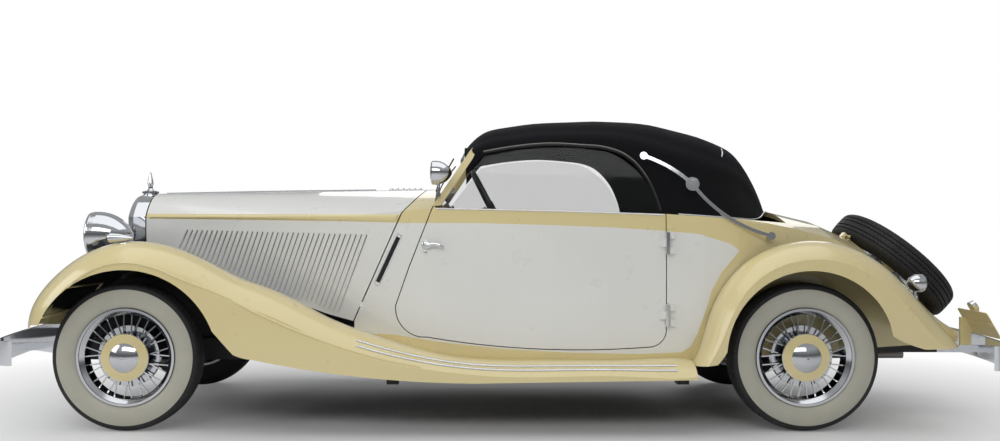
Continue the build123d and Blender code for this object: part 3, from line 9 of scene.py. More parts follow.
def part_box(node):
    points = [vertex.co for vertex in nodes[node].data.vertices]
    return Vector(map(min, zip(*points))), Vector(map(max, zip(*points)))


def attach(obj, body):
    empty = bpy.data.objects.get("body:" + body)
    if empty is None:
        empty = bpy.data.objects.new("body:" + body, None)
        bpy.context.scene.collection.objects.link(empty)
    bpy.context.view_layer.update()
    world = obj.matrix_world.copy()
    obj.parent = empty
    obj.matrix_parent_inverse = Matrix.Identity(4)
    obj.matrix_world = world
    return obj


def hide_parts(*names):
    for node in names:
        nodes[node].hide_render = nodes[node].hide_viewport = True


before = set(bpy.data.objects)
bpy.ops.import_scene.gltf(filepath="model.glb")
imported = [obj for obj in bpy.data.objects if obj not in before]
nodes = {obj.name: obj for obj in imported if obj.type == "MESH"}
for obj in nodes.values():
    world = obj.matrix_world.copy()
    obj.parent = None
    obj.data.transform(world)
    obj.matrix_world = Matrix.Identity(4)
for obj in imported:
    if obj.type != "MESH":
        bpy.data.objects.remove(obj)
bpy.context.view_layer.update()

AXLE = 1.84                 # the front axle lies this far ahead of the frame's middle
WHEEL_Z = 0.361
WHEEL_Y = 0.685
WHEELBASE = 3.3
SIDES = (("left", -1), ("right", 1))
# each wheel's name, its middle and the side that its outer face looks to
WHEELS = [(f"{end}_{side}", (axle_x, hand * WHEEL_Y, WHEEL_Z), hand)
          for end, axle_x in (("front", -AXLE), ("rear", WHEELBASE - AXLE))
          for side, hand in SIDES]
BESIDE_Y = -1.2             # a line drawn here is then pushed in on to the car's left side


def along_at(station):
    """Metres along the frame from millimetres behind the front axle."""
    return station / 1000 - AXLE


def at(station, y, z):
    """A place from millimetres behind the front axle, across and up."""
    return Vector((along_at(station), y / 1000, z / 1000))


def beside(station, z):
    """A place off the car's left side, from millimetres."""
    return Vector((along_at(station), BESIDE_Y, z / 1000))


def tint(red, green, blue):
    """A paint chip's 0 to 255 reading as a shader colour."""
    def linear(c):
        c /= 255
        return c / 12.92 if c <= 0.04045 else ((c + 0.055) / 1.055) ** 2.4
    return (linear(red), linear(green), linear(blue), 1.0)


# ---------------------------------------------------------------- camera and lights
CAMERA_PLACE = (-0.177, -5.625, 1.033)
CAMERA_LENS = 36.2
CAMERA_SHIFT = (0.032, -0.0015)
bpy.ops.object.camera_add(location=CAMERA_PLACE, rotation=(math.radians(90), 0, 0))
camera = bpy.context.object
camera.name = "studio_camera"
camera.data.sensor_width = 36
camera.data.lens = CAMERA_LENS
camera.data.shift_x, camera.data.shift_y = CAMERA_SHIFT
bpy.context.scene.camera = camera
bpy.context.scene.view_settings.view_transform = "Standard"

LAMPS = [
    # name, place, aimed at, width, depth, watts
    ("roof_softbox", (0.0, -0.6, 4.6), (0.0, 0.0, 0.6), 7.0, 4.0, 80),
    ("near_softbox", (-0.8, -6.2, 4.1), (0.0, 0.0, 0.7), 7.0, 1.8, 128),
    ("front_softbox", (-5.6, -2.0, 2.6), (0.0, 0.0, 0.7), 3.0, 2.4, 45),
    ("far_softbox", (1.0, 5.2, 3.0), (0.0, 0.0, 0.9), 6.0, 2.0, 45),
]
for name, place, aim, width, depth, watts in LAMPS:
    turn = (Vector(aim) - Vector(place)).to_track_quat("-Z", "Y").to_euler()
    bpy.ops.object.light_add(type="AREA", location=place, rotation=turn)
    lamp = bpy.context.object
    lamp.name = name
    lamp.data.shape = "RECTANGLE"
    lamp.data.size = width
    lamp.data.size_y = depth
    lamp.data.energy = watts


# ---------------------------------------------------------------- finishes
class Coat:
    """A value on its way to a finish; sums on it lay their own maths."""

    def __init__(self, finish, socket):
        self.finish = finish
        self.socket = socket

    def sum(self, operation, first, second=0.0):
        return self.finish.lay("ShaderNodeMath", {"operation": operation},
                               {0: first, 1: second})

    def __add__(self, other):
        return self.sum("ADD", self, other)

    __radd__ = __add__

    def __sub__(self, other):
        return self.sum("SUBTRACT", self, other)

    def __rsub__(self, other):
        return self.sum("SUBTRACT", other, self)

    def __mul__(self, other):
        return self.sum("MULTIPLY", self, other)

    __rmul__ = __mul__

    def __truediv__(self, other):
        return self.sum("DIVIDE", self, other)

    def above(self, edge, soft=0.0008):
        """1 where this is over the edge, 0 under it, with a short ramp between."""
        gap = self - edge
        return self.finish.lay("ShaderNodeMath", {"operation": "DIVIDE", "use_clamp": True},
                               {0: gap + soft / 2, 1: soft})

    def wave(self):
        return self.sum("SINE", self)

    def size(self):
        return self.sum("ABSOLUTE", self)


class Finish:
    """A paint, metal, cloth or leather, as a node tree with one main shader."""

    def __init__(self, name, **constants):
        self.material = bpy.data.materials.new(name)
        self.material.use_nodes = True
        self.tree = self.material.node_tree
        self.shader = self.tree.nodes["Principled BSDF"]
        for key, value in constants.items():
            self.shader.inputs[key.replace("_", " ")].default_value = value

    def lay(self, kind, settings=None, inputs=None, out=0):
        node = self.tree.nodes.new(kind)
        for key, value in (settings or {}).items():
            if key == "stops":
                ramp = node.color_ramp.elements
                while len(ramp) > 1:
                    ramp.remove(ramp[-1])
                for i, (spot, shade) in enumerate(value):
                    stop = ramp[0] if i == 0 else ramp.new(spot)
                    stop.position = spot
                    stop.color = shade if hasattr(shade, "__len__") else (shade,) * 3 + (1,)
            else:
                setattr(node, key, value)
        for key, value in (inputs or {}).items():
            self.join(value, node.inputs[key])
        return Coat(self, node.outputs[out])

    def join(self, value, socket):
        if isinstance(value, Coat):
            self.tree.links.new(value.socket, socket)
        else:
            socket.default_value = value

    def pour(self, **coats):
        for key, value in coats.items():
            self.join(value, self.shader.inputs[key.replace("_", " ")])

    def parts(self, vector):
        """The three numbers of a vector."""
        outs = self.lay("ShaderNodeSeparateXYZ", None, {0: vector}).socket.node.outputs
        return tuple(Coat(self, outs[i]) for i in range(3))

    def place(self):
        """Object coordinates as a vector, then along, across and up."""
        spot = self.lay("ShaderNodeTexCoord", out="Object")
        return (spot,) + self.parts(spot)

    def facing(self):
        """The way that the surface faces, along, across and up."""
        return self.parts(self.lay("ShaderNodeNewGeometry", out="Normal"))

    def noise(self, spot, scale, detail=3.0):
        return self.lay("ShaderNodeTexNoise", None,
                        {"Vector": spot, "Scale": scale, "Detail": detail, "Roughness": 0.55})

    def blend(self, share, first, second, how="MIX"):
        """Two colours mixed by a share."""
        node = self.tree.nodes.new("ShaderNodeMix")
        node.data_type = "RGBA"
        node.blend_type = how
        self.join(share, node.inputs["Factor"])
        self.join(first, node.inputs[6])
        self.join(second, node.inputs[7])
        return Coat(self, node.outputs[2])

    def curve(self, value, knots):
        """A height looked up along a line of (value, height) knots."""
        low, high = knots[0][0], knots[-1][0]
        floor, top = min(k[1] for k in knots), max(k[1] for k in knots)
        stops = [((a - low) / (high - low), (h - floor) / (top - floor)) for a, h in knots]
        share = (value - low) / (high - low)
        ramp = self.lay("ShaderNodeValToRGB", {"stops": stops}, {0: share})
        return ramp * (top - floor) + floor

    def bump(self, height, depth, strength=1.0):
        return self.lay("ShaderNodeBump", None,
                        {"Height": height, "Distance": depth, "Strength": strength})


CREAM = tint(226, 210, 156)
IVORY = tint(232, 232, 228)
BRIGHT = tint(222, 224, 228)
ARM_BLACK = tint(20, 20, 21)
HIDE_LINING = tint(96, 48, 30)


def clear_coat(name):
    """A finish for sprayed paint under varnish."""
    return Finish(name, Coat_Weight=0.9, Coat_Roughness=0.04, Specular_IOR_Level=0.5)


def sprayed(finish, spot, colour):
    """Paint laid with a faint orange peel, a breath of tone and fine dust in its gloss."""
    shade = finish.lay("ShaderNodeValToRGB",
                       {"stops": [(0.3, (0.93, 0.93, 0.925, 1)), (0.7, (1, 1, 1, 1))]},
                       {0: finish.noise(spot, 1.7, 2.0)})
    finish.pour(Base_Color=finish.blend(0.5, colour, shade, "MULTIPLY"),
                Roughness=0.24 + 0.1 * finish.noise(spot, 9.0),
                Normal=finish.bump(finish.noise(spot, 420.0, 1.0), 0.00012, 0.5))


cream_paint = clear_coat("cream_body_paint")
sprayed(cream_paint, cream_paint.place()[0], CREAM)

# ivory flanks end in a cream sweep ahead of the rear wheel; inner faces are lined with hide
BELT_LINE = [(-0.84, 1.022), (-0.51, 1.013), (-0.13, 1.013), (0.21, 1.004), (0.55, 0.991),
             (0.794, 0.974), (0.96, 0.959), (1.12, 0.910), (1.17, 0.870)]
SWEEP_LINE = [(0.369, 0.86), (0.404, 0.919), (0.473, 0.954), (0.586, 0.993), (0.684, 1.022),
              (0.772, 1.072), (0.846, 1.136), (0.881, 1.163)]
SILL_LINE = [(-0.546, 0.453), (-0.30, 0.421), (-0.015, 0.394), (0.324, 0.376), (0.659, 0.369),
             (0.875, 0.376)]

two_tone = clear_coat("two_tone_body_paint")
spot, along, across, up = two_tone.place()
ivory_part = ((1 - up.above(two_tone.curve(along, BELT_LINE)))
              * (1 - along.above(two_tone.curve(up, SWEEP_LINE)))
              * up.above(two_tone.curve(along, SILL_LINE)))
outer_face = (two_tone.facing()[1] * across).above(-0.12, 0.02)
lined = (1 - outer_face) * up.above(0.36) * (1 - across.size().above(0.69))
outside = two_tone.blend(ivory_part, CREAM, IVORY)
sprayed(two_tone, spot, two_tone.blend(lined, outside, HIDE_LINING))

bonnet_paint = clear_coat("bonnet_paint")
spot, along, across, up = bonnet_paint.place()
band = (up.above(bonnet_paint.curve(along, [(-2.0, 1.036), (-0.84, 1.022), (-0.5, 1.014)]))
        * (1 - up.above(bonnet_paint.curve(along, [(-2.0, 1.062), (-0.5, 1.054)]))))
sprayed(bonnet_paint, spot, bonnet_paint.blend(band, IVORY, CREAM))


def metal(name, colour, low, spread, grain=60.0):
    """Polished or plain metal; low and spread give its roughness."""
    finish = Finish(name, Metallic=1.0)
    spot = finish.place()[0]
    finish.pour(Base_Color=finish.blend(finish.noise(spot, 3.0), colour,
                                        tuple(0.86 * c for c in colour[:3]) + (1,)),
                Roughness=low + spread * finish.noise(spot, grain, 4.0),
                Normal=finish.bump(finish.noise(spot, 900.0, 1.0), 0.00004, 0.4))
    return finish


chrome = metal("bright_chrome", BRIGHT, 0.03, 0.08)
wheel_chrome = metal("wheel_chrome", tint(214, 216, 220), 0.06, 0.1)
steel = metal("plain_steel", tint(150, 148, 144), 0.28, 0.25)
iron = metal("cast_iron", tint(92, 92, 92), 0.42, 0.3)


def part_bright(name, shade, where):
    """Chrome where a share of the place along or up is 1, plain paint of a shade elsewhere."""
    finish = Finish(name)
    spot, along, across, up = finish.place()
    bright = where(along, up)
    finish.pour(Base_Color=finish.blend(bright, shade, BRIGHT), Metallic=bright,
                Roughness=0.30 - 0.24 * bright + 0.06 * finish.noise(spot, 40.0))
    return finish


# bumper bars are bright, their arms black; the plate's lamp is bright, its bracket painted
REAR_BAR_FROM, FRONT_BAR_TO = along_at(4120), along_at(-395)
PLATE_LAMP_Z = 0.592
rear_bar = part_bright("rear_bumper_and_arms", ARM_BLACK,
                       lambda along, up: along.above(REAR_BAR_FROM))
front_bar = part_bright("front_bumper_and_arms", ARM_BLACK,
                        lambda along, up: 1 - along.above(FRONT_BAR_TO))
plate_mount = part_bright("plate_bracket_and_lamp", CREAM,
                          lambda along, up: up.above(PLATE_LAMP_Z))


def dull(name, colour, low=0.45, spread=0.3, grain=25.0, depth=0.0003):
    """Plain paint, rubber or moulding with a grain of its own."""
    finish = Finish(name)
    spot = finish.place()[0]
    speck = finish.noise(spot, grain, 5.0)
    finish.pour(Base_Color=finish.blend(speck, colour, tuple(0.6 * c for c in colour[:3]) + (1,)),
                Roughness=low + spread * speck,
                Normal=finish.bump(finish.noise(spot, grain * 20, 2.0), depth, 0.5))
    return finish


# fenders: painted outside, black under and inside
fender_paint = clear_coat("fender_paint")
spot, along, across = fender_paint.place()[:3]
faces_across, faces_up = fender_paint.facing()[1:]
inboard = 1 - (faces_across * across).above(-0.08, 0.04)
under = 1 - faces_up.above(-0.35, 0.1)
sprayed(fender_paint, spot, fender_paint.blend(inboard.sum("MAXIMUM", inboard, under), CREAM,
                                               tint(22, 22, 23)))

chassis_black = dull("chassis_enamel", tint(26, 26, 27), 0.3, 0.3)
black_rubber = dull("black_rubber", tint(34, 34, 35), 0.55, 0.25, 40.0, 0.0004)
black_moulding = dull("black_moulding", tint(20, 20, 21), 0.25, 0.2)
carpet = dull("cabin_carpet", tint(70, 52, 42), 0.8, 0.15, 30.0, 0.002)

# rubber of the road tyres: a tread pattern that follows the round, a plain whitewall
TREAD_BLOCKS = 88
TREAD_UV = "round_and_across"
tread_rubber = Finish("tread_rubber")
turn, width = tread_rubber.parts(tread_rubber.lay("ShaderNodeUVMap", {"uv_map": TREAD_UV}))[:2]
zigzag = (turn * (math.tau * TREAD_BLOCKS) + (width * 40.0).wave() * 1.6).wave()
on_tread = 1 - (width - 0.5).size().above(0.42, 0.02)
blocks = zigzag.above(-0.55, 0.5) * on_tread
spot = tread_rubber.place()[0]
dust = tread_rubber.noise(spot, 14.0, 5.0)
tread_rubber.pour(Base_Color=tread_rubber.blend(dust, tint(38, 38, 39), tint(24, 24, 25)),
                  Roughness=0.5 + 0.3 * dust,
                  Normal=tread_rubber.bump(blocks, 0.003, 0.9))

whitewall = Finish("whitewall_rubber")
spot = whitewall.place()[0]
stain = whitewall.noise(spot, 6.0, 4.0)
whitewall.pour(Base_Color=whitewall.blend(stain, tint(190, 188, 174), tint(170, 167, 153)),
               Roughness=0.42 + 0.2 * stain,
               Normal=whitewall.bump(whitewall.noise(spot, 260.0), 0.0002, 0.4))


def hood_weave(finish, spot, pitch):
    """Warp and weft of a double-texture hood cloth."""
    x, y, z = finish.parts(spot)
    warp = (x * (math.tau / pitch)).wave()
    weft = ((y + z * 0.7) * (math.tau / pitch)).wave()
    return warp * weft


hood_cloth = Finish("black_hood_cloth", Sheen_Weight=0.02, Sheen_Roughness=0.5,
                    Specular_IOR_Level=0.15)
spot = hood_cloth.place()[0]
fade = hood_cloth.noise(spot, 3.2, 4.0)
lint = hood_cloth.noise(spot, 160.0, 2.0)
hood_cloth.pour(Base_Color=hood_cloth.blend(fade, tint(14, 15, 19), tint(8, 8, 11)),
                Roughness=0.78 + 0.14 * lint,
                Normal=hood_cloth.bump(hood_weave(hood_cloth, spot, 0.0032) + lint * 0.6,
                                       0.0006, 0.6))

hood_lining = Finish("hood_lining", Sheen_Weight=0.3)
spot = hood_lining.place()[0]
hood_lining.pour(Base_Color=hood_lining.blend(hood_lining.noise(spot, 5.0), tint(120, 110, 94),
                                              tint(100, 92, 78)),
                 Roughness=0.85 + 0.1 * hood_lining.noise(spot, 90.0),
                 Normal=hood_lining.bump(hood_weave(hood_lining, spot, 0.004), 0.0005, 0.5))

seat_leather = Finish("seat_leather", Coat_Weight=0.08, Coat_Roughness=0.4)
spot = seat_leather.place()[0]
hide = seat_leather.lay("ShaderNodeTexVoronoi", {"feature": "DISTANCE_TO_EDGE"},
                        {"Vector": spot, "Scale": 420.0})
worn = seat_leather.noise(spot, 5.0, 5.0)
seat_leather.pour(Base_Color=seat_leather.blend(worn, tint(118, 60, 38), tint(88, 42, 26)),
                  Roughness=0.38 + 0.25 * worn,
                  Normal=seat_leather.bump(hide.above(0.06, 0.12) + worn * 0.8, 0.0005, 0.5))

dash_wood = Finish("walnut_facia", Coat_Weight=0.8, Coat_Roughness=0.06)
spot, along, across, up = dash_wood.place()
figure = dash_wood.noise(dash_wood.lay("ShaderNodeMapping", None,
                                       {"Vector": spot, "Scale": (60.0, 3.0, 40.0)}), 1.6, 6.0)
rings = ((figure * 26.0 + up * 90.0).wave() * 0.5 + 0.5)
dash_wood.pour(Base_Color=dash_wood.blend(rings * 0.6 + figure * 0.4, tint(112, 62, 32),
                                          tint(58, 30, 16)),
               Roughness=0.28 + 0.12 * figure,
               Normal=dash_wood.bump(rings, 0.0001, 0.3))


def glassy(name, first, second, speck, low, spread, grain, rib=None, depth=0.0, **constants):
    """Glass or enamel in two close tones; rib is the pitch of the flutes pressed across it."""
    finish = Finish(name, **constants)
    spot, along, across = finish.place()[:3]
    finish.pour(Base_Color=finish.blend(finish.noise(spot, speck), tint(*first), tint(*second)),
                Roughness=low + spread * finish.noise(spot, grain))
    if rib:
        finish.pour(Normal=finish.bump((across * (math.tau / rib)).wave(), depth, 0.6))
    return finish


window_glass = glassy("window_glass", (52, 58, 56), (42, 48, 46), 2.0, 0.02, 0.02, 30.0,
                      Alpha=0.14, IOR=1.45, Coat_Weight=0.4)
lamp_glass = glassy("ribbed_lamp_glass", (222, 226, 226), (198, 204, 206), 40.0, 0.06, 0.05,
                    50.0, 0.012, 0.001, Transmission_Weight=0.35, IOR=1.5, Coat_Weight=0.6)
red_glass = glassy("red_lamp_glass", (170, 18, 14), (120, 8, 8), 60.0, 0.12, 0.05, 80.0,
                   0.006, 0.0006, Coat_Weight=0.8)
dial_face = glassy("dial_face", (226, 222, 208), (206, 202, 188), 300.0, 0.3, 0.1, 90.0,
                   Coat_Weight=0.9)
# near-black finish for the louvre mouths: painted shade where the openings would be dark
louvre_painted_shade = dull("louvre_mouth_painted_shade", tint(12, 12, 13), 0.5, 0.2, 90.0, 0.0008)


# ---------------------------------------------------------------- bench tools
def take(*pieces):
    """Selects pieces, the first of them active."""
    bpy.ops.object.select_all(action="DESELECT")
    for piece in pieces:
        piece.select_set(True)
    bpy.context.view_layer.objects.active = pieces[0]


def work(piece, how):
    """Edit mode on one piece, all of it selected, while how() works."""
    take(piece)
    bpy.ops.object.mode_set(mode="EDIT")
    bpy.ops.mesh.select_all(action="SELECT")
    how()
    bpy.ops.object.mode_set(mode="OBJECT")


def settle(piece):
    """Applies a piece's place, turn and scale to its mesh."""
    take(piece)
    bpy.ops.object.transform_apply(location=True, rotation=True, scale=True)
    return piece


def with_modifier(piece, kind, **settings):
    """Adds a modifier and applies it."""
    take(piece)
    modifier = piece.modifiers.new(kind.lower(), kind)
    for key, value in settings.items():
        setattr(modifier, key, value)
    bpy.ops.object.modifier_apply(modifier=modifier.name)


def outward(piece):
    """Closes a mesh's seams and turns its faces outward."""
    def turn_out():
        bpy.ops.mesh.remove_doubles(threshold=0.00002)
        bpy.ops.mesh.normals_make_consistent(inside=False)
    work(piece, turn_out)


def coated(piece, finish):
    """Gives a piece or a carried-over node its finish."""
    piece.data.materials.clear()
    piece.data.materials.append(finish.material)


def finished(piece, name, finish, smooth=35, body="car"):
    """Names a piece, gives it its finish and the body that it rides on."""
    settle(piece)
    outward(piece)
    piece.name = name
    coated(piece, finish)
    take(piece)
    bpy.ops.object.shade_smooth_by_angle(angle=math.radians(smooth))
    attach(piece, body)


def joined(pieces):
    """Several meshes made one."""
    take(*pieces)
    bpy.ops.object.join()
    return bpy.context.object


ACROSS = Matrix.Diagonal((1, -1, 1, 1))


def pair(piece, name, finish, smooth=35, on=None):
    """A piece for the car's left side and its mirror image for the right; on names the moving
    pair of bodies that carries them."""
    finished(piece, f"{name}_left", finish, smooth, f"{on}_left" if on else "car")
    twin = piece.copy()
    twin.data = piece.data.copy()
    twin.parent = None
    bpy.context.scene.collection.objects.link(twin)
    twin.matrix_world = ACROSS
    finished(twin, f"{name}_right", finish, smooth, f"{on}_right" if on else "car")


def block(middle, size, turn=(0, 0, 0), bevel=0.0, segments=2):
    """A block with rounded edges."""
    bpy.ops.mesh.primitive_cube_add(size=1, location=middle, rotation=turn)
    piece = bpy.context.object
    piece.scale = size
    settle(piece)
    if bevel:
        work(piece, lambda: bpy.ops.mesh.bevel(offset=bevel, segments=segments))
    return piece


def traced(places, shape):
    """A line drawn through places, all of it selected, that shape() then makes a solid of."""
    bpy.ops.mesh.primitive_plane_add(size=0.01, location=places[0])
    piece = bpy.context.object

    def draw():
        bpy.ops.mesh.merge(type="CENTER")
        for start, end in zip(places, places[1:]):
            bpy.ops.mesh.extrude_region_move(
                TRANSFORM_OT_translate={"value": tuple(end - start)})
        bpy.ops.mesh.select_all(action="SELECT")
        shape()
    work(piece, draw)
    outward(piece)
    return settle(piece)


def turned(section, middle, axis, steps):
    """A piece turned on a lathe: section is (along the axis, out from it), a closed loop or one
    that starts and ends on the axis."""
    axis = Vector(axis).normalized()
    side = axis.orthogonal().normalized()
    return traced([Vector(middle) + axis * a + side * r for a, r in section],
                  lambda: bpy.ops.mesh.spin(steps=steps, angle=math.tau, center=tuple(middle),
                                            axis=tuple(axis)))


def wire(places, thick, closed=False, onto=None):
    """A rod or bead along a smooth line; onto lays its line on the left face of another piece."""
    bpy.ops.curve.primitive_bezier_curve_add(location=(0, 0, 0))
    line = bpy.context.object
    run = line.data.splines[0]
    run.bezier_points.add(len(places) - 2)
    for knot, place in zip(run.bezier_points, places):
        knot.co = place
        knot.handle_left_type = knot.handle_right_type = "AUTO"
    run.use_cyclic_u = closed
    line.data.resolution_u = 10
    if onto is not None:
        take(line)
        bpy.ops.object.convert(target="MESH")
        laid_on(bpy.context.object, onto)
        bpy.ops.object.convert(target="CURVE")
        line = bpy.context.object
    line.data.bevel_depth = thick
    line.data.bevel_resolution = 2
    line.data.use_fill_caps = True
    take(line)
    bpy.ops.object.convert(target="MESH")
    return bpy.context.object


def laid_on(piece, target, proud=0.0):
    """Pushes a piece inboard until it lies on the left face of another; a point that passes
    beside it takes its neighbour's depth."""
    with_modifier(piece, "SHRINKWRAP", wrap_method="PROJECT", use_project_y=True,
                  use_positive_direction=True, use_negative_direction=False,
                  target=target, offset=proud)
    still_off = BESIDE_Y + 0.1
    seated = [point.co.copy() for point in piece.data.vertices if point.co.y > still_off]
    for point in piece.data.vertices:
        if point.co.y <= still_off:
            point.co.y = min(seated, key=lambda spot: (spot.x - point.co.x) ** 2
                             + (spot.z - point.co.z) ** 2).y


def strip(uppers, lowers, cuts, rows):
    """A strip in side view between two lines of (x, z), with even cuts along it."""
    bpy.ops.mesh.primitive_grid_add(x_subdivisions=cuts, y_subdivisions=rows, size=1)
    piece = bpy.context.object

    def on(line, share):
        spot = share * (len(line) - 1)
        i = min(int(spot), len(line) - 2)
        return [a + (b - a) * (spot - i) for a, b in zip(line[i], line[i + 1])]
    for point in piece.data.vertices:
        share, up_share = point.co.x + 0.5, point.co.y + 0.5
        top, low = on(uppers, share), on(lowers, share)
        point.co = (low[0] + (top[0] - low[0]) * up_share, BESIDE_Y,
                    low[1] + (top[1] - low[1]) * up_share)
    return piece


# ---------------------------------------------------------------- carried-over solids
PLAIN_NODES = {
    two_tone: ["body_tub", "door_left", "door_right"],
    bonnet_paint: ["bonnet_left", "bonnet_right"],
    fender_paint: ["front_fender_left", "front_fender_right", "rear_fender_left",
                   "rear_fender_right", "front_apron"],
    cream_paint: ["boot_lid", "windscreen_frame"],
    front_bar: ["front_bumper"],
    rear_bar: ["rear_bumper"],
    plate_mount: ["number_plate_bracket"],
    chrome: ["radiator_shell", "radiator_grille", "headlamps", "horns", "side_lamps",
             "search_lamp", "tail_lamps", "landau_irons"],
    chassis_black: ["chassis_frame", "front_suspension", "rear_axle", "knuckle_left",
                    "knuckle_right", "fuel_tank"],
    iron: ["engine_and_gearbox"],
    steel: ["exhaust"],
    carpet: ["floor_and_firewall"],
    dash_wood: ["dashboard"],
    black_moulding: ["steering_wheel"],
    seat_leather: ["front_seats", "rear_seat"],
    hood_lining: ["soft_top"],
    black_rubber: [f"tyre_{name}" for name, middle, hand in WHEELS] + ["spare_tyre"],
    window_glass: ["windscreen_glass", "door_glass_left", "door_glass_right"],
    wheel_chrome: [f"wheel_{name}" for name, middle, hand in WHEELS] + ["spare_wheel"],
}
for finish, names in PLAIN_NODES.items():
    for name in names:
        coated(nodes[name], finish)


# ---------------------------------------------------------------- tyres
# the left half of a tyre's section: out from its middle plane, then from its axle
TYRE_HALF = [(0.0, 0.236), (0.050, 0.2365), (0.058, 0.240), (0.068, 0.250), (0.0755, 0.268),
             (0.0790, 0.290), (0.0780, 0.312), (0.0735, 0.3305), (0.0690, 0.341),
             (0.0625, 0.350), (0.0555, 0.3555), (0.0470, 0.3585), (0.0400, 0.3592),
             (0.0385, 0.3530), (0.0345, 0.3530), (0.0330, 0.3600), (0.0180, 0.3606),
             (0.0165, 0.3540), (0.0125, 0.3540), (0.0110, 0.3608), (0.0, 0.3610)]
WHITE_FROM, WHITE_TO = 0.241, 0.3305
TREAD_FROM = 0.345
TREAD_WIDTH = 0.16
SPARE_SLOPE = math.radians(42)


def tyre(name, middle, axis, body, node, white_side):
    """One tyre on the lathe; white_side is the way that its whitewall faces, or 0 for none."""
    loop = TYRE_HALF + [(-a, r) for a, r in reversed(TYRE_HALF[1:-1])] + [TYRE_HALF[0]]
    piece = turned(loop, middle, axis, 96)
    finished(piece, name, tread_rubber, 50, body)
    piece.data.materials.append(whitewall.material)
    axis = Vector(axis).normalized()
    side = axis.orthogonal().normalized()
    third = axis.cross(side)
    laid_out = piece.data.uv_layers.new(name=TREAD_UV)
    for face in piece.data.polygons:
        centre = face.center - Vector(middle)
        off = centre.dot(axis)
        radius = (centre - axis * off).length
        if white_side and off * white_side > 0 and WHITE_FROM < radius < WHITE_TO:
            face.material_index = 1
        here = math.atan2(centre.dot(third), centre.dot(side)) / math.tau
        for loop_index in face.loop_indices:
            corner = piece.data.loops[loop_index].vertex_index
            arm = piece.data.vertices[corner].co - Vector(middle)
            there = math.atan2(arm.dot(third), arm.dot(side)) / math.tau
            there += round(here - there)
            across = arm.dot(axis) if radius > TREAD_FROM else 0.2
            laid_out.data[loop_index].uv = (there, across / TREAD_WIDTH + 0.5)
    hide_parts(node)


for name, middle, hand in WHEELS:
    tyre(f"road_tyre_{name}", middle, (0, 1, 0), f"wheel_{name}", f"tyre_{name}", hand)
low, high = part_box("spare_tyre")
tyre("spare_road_tyre", (low + high) / 2, (math.sin(SPARE_SLOPE), 0, math.cos(SPARE_SLOPE)),
     "boot_lid", "spare_tyre", 0)

# a painted disc lies round each bright hub cap, over its flange
DISC_RADII = (0.0712, 0.0780, 0.0840, 0.0900, 0.0960, 0.1020, 0.1080, 0.1140)
DISC_FOOT, DISC_PROUD, DISC_T = 0.070, 0.0008, 0.0016
for name, middle, hand in WHEELS:
    front = []
    for radius in DISC_RADII:
        hit, place, normal, number = nodes[f"wheel_{name}"].ray_cast(
            Vector((middle[0], hand * 1.2, WHEEL_Z + radius)), Vector((0, -hand, 0)))
        front.append((hand * (max(abs(place.y) - WHEEL_Y, DISC_FOOT) + DISC_PROUD), radius))
    edge = front[-1][0]
    back = [(off - hand * DISC_T, radius) for off, radius in reversed(front[:-1])]
    disc = turned(front + [(edge - hand * 0.006, 0.1165), (edge - hand * 0.008, 0.1130)]
                  + back + front[:1], middle, (0, 1, 0), 48)
    finished(disc, f"hub_disc_{name}", cream_paint, body=f"wheel_{name}")

# ---------------------------------------------------------------- bonnet
LOUVRES = 36
LOUVRE_TOP = (at(162, 0, 980), at(1138, 0, 958))
LOUVRE_FOOT = (at(122, 0, 884), at(562, 0, 694), at(988, 0, 558))
LOUVRE_W = 0.0145
LOUVRE_RISES = [0.0, 0.0028, 0.0046, 0.0052, 0.0050, 0.0]   # from its front edge to its mouth
LOUVRE_CUTS = 8
MOUTH_W = 0.0030


def slat(foot, top, aft, wide, drawn_in, rows):
    """A slanting strip that starts aft of a line, each edge drawn in at both its ends."""
    near, far = drawn_in
    return strip([(foot.x + aft, foot.z + near), (top.x + aft, top.z - near)],
                 [(foot.x + aft + wide, foot.z + far), (top.x + aft + wide, top.z - far)],
                 LOUVRE_CUTS, rows)


# pressed louvres that stand open behind; a near-black strip at each mouth is painted shade
# standing for its opening
ribs, mouths = [], []
for i in range(LOUVRES):
    share = i / (LOUVRES - 1)
    top = LOUVRE_TOP[0].lerp(LOUVRE_TOP[1], share)
    foot_x = LOUVRE_FOOT[0].x + (LOUVRE_FOOT[2].x - LOUVRE_FOOT[0].x) * share
    a, b = LOUVRE_FOOT[:2] if foot_x < LOUVRE_FOOT[1].x else LOUVRE_FOOT[1:]
    foot = a.lerp(b, (foot_x - a.x) / (b.x - a.x))
    ribs.append(slat(foot, top, 0.0, LOUVRE_W, (0.0, 0.0), len(LOUVRE_RISES) - 1))
    mouths.append(slat(foot, top, LOUVRE_W, MOUTH_W, (0.004, 0.006), 1))
ribs, mouths = joined(ribs), joined(mouths)
laid_on(ribs, nodes["bonnet_left"], 0.0003)
row = LOUVRE_CUTS + 1
for number, point in enumerate(ribs.data.vertices):
    rise = LOUVRE_RISES[number // row % len(LOUVRE_RISES)]
    point.co.y -= rise * (0.35 if number % row in (0, LOUVRE_CUTS) else 1)
with_modifier(ribs, "SOLIDIFY", thickness=0.0012, offset=1)
pair(ribs, "bonnet_louvres", bonnet_paint, 30, "bonnet")
# the mouth strips: a black sheet laid on the bonnet as painted shade, not an opening
laid_on(mouths, nodes["bonnet_left"], 0.0004)
with_modifier(mouths, "SOLIDIFY", thickness=0.001, offset=1)
pair(mouths, "louvre_mouth_shade_strips", louvre_painted_shade, on="bonnet")

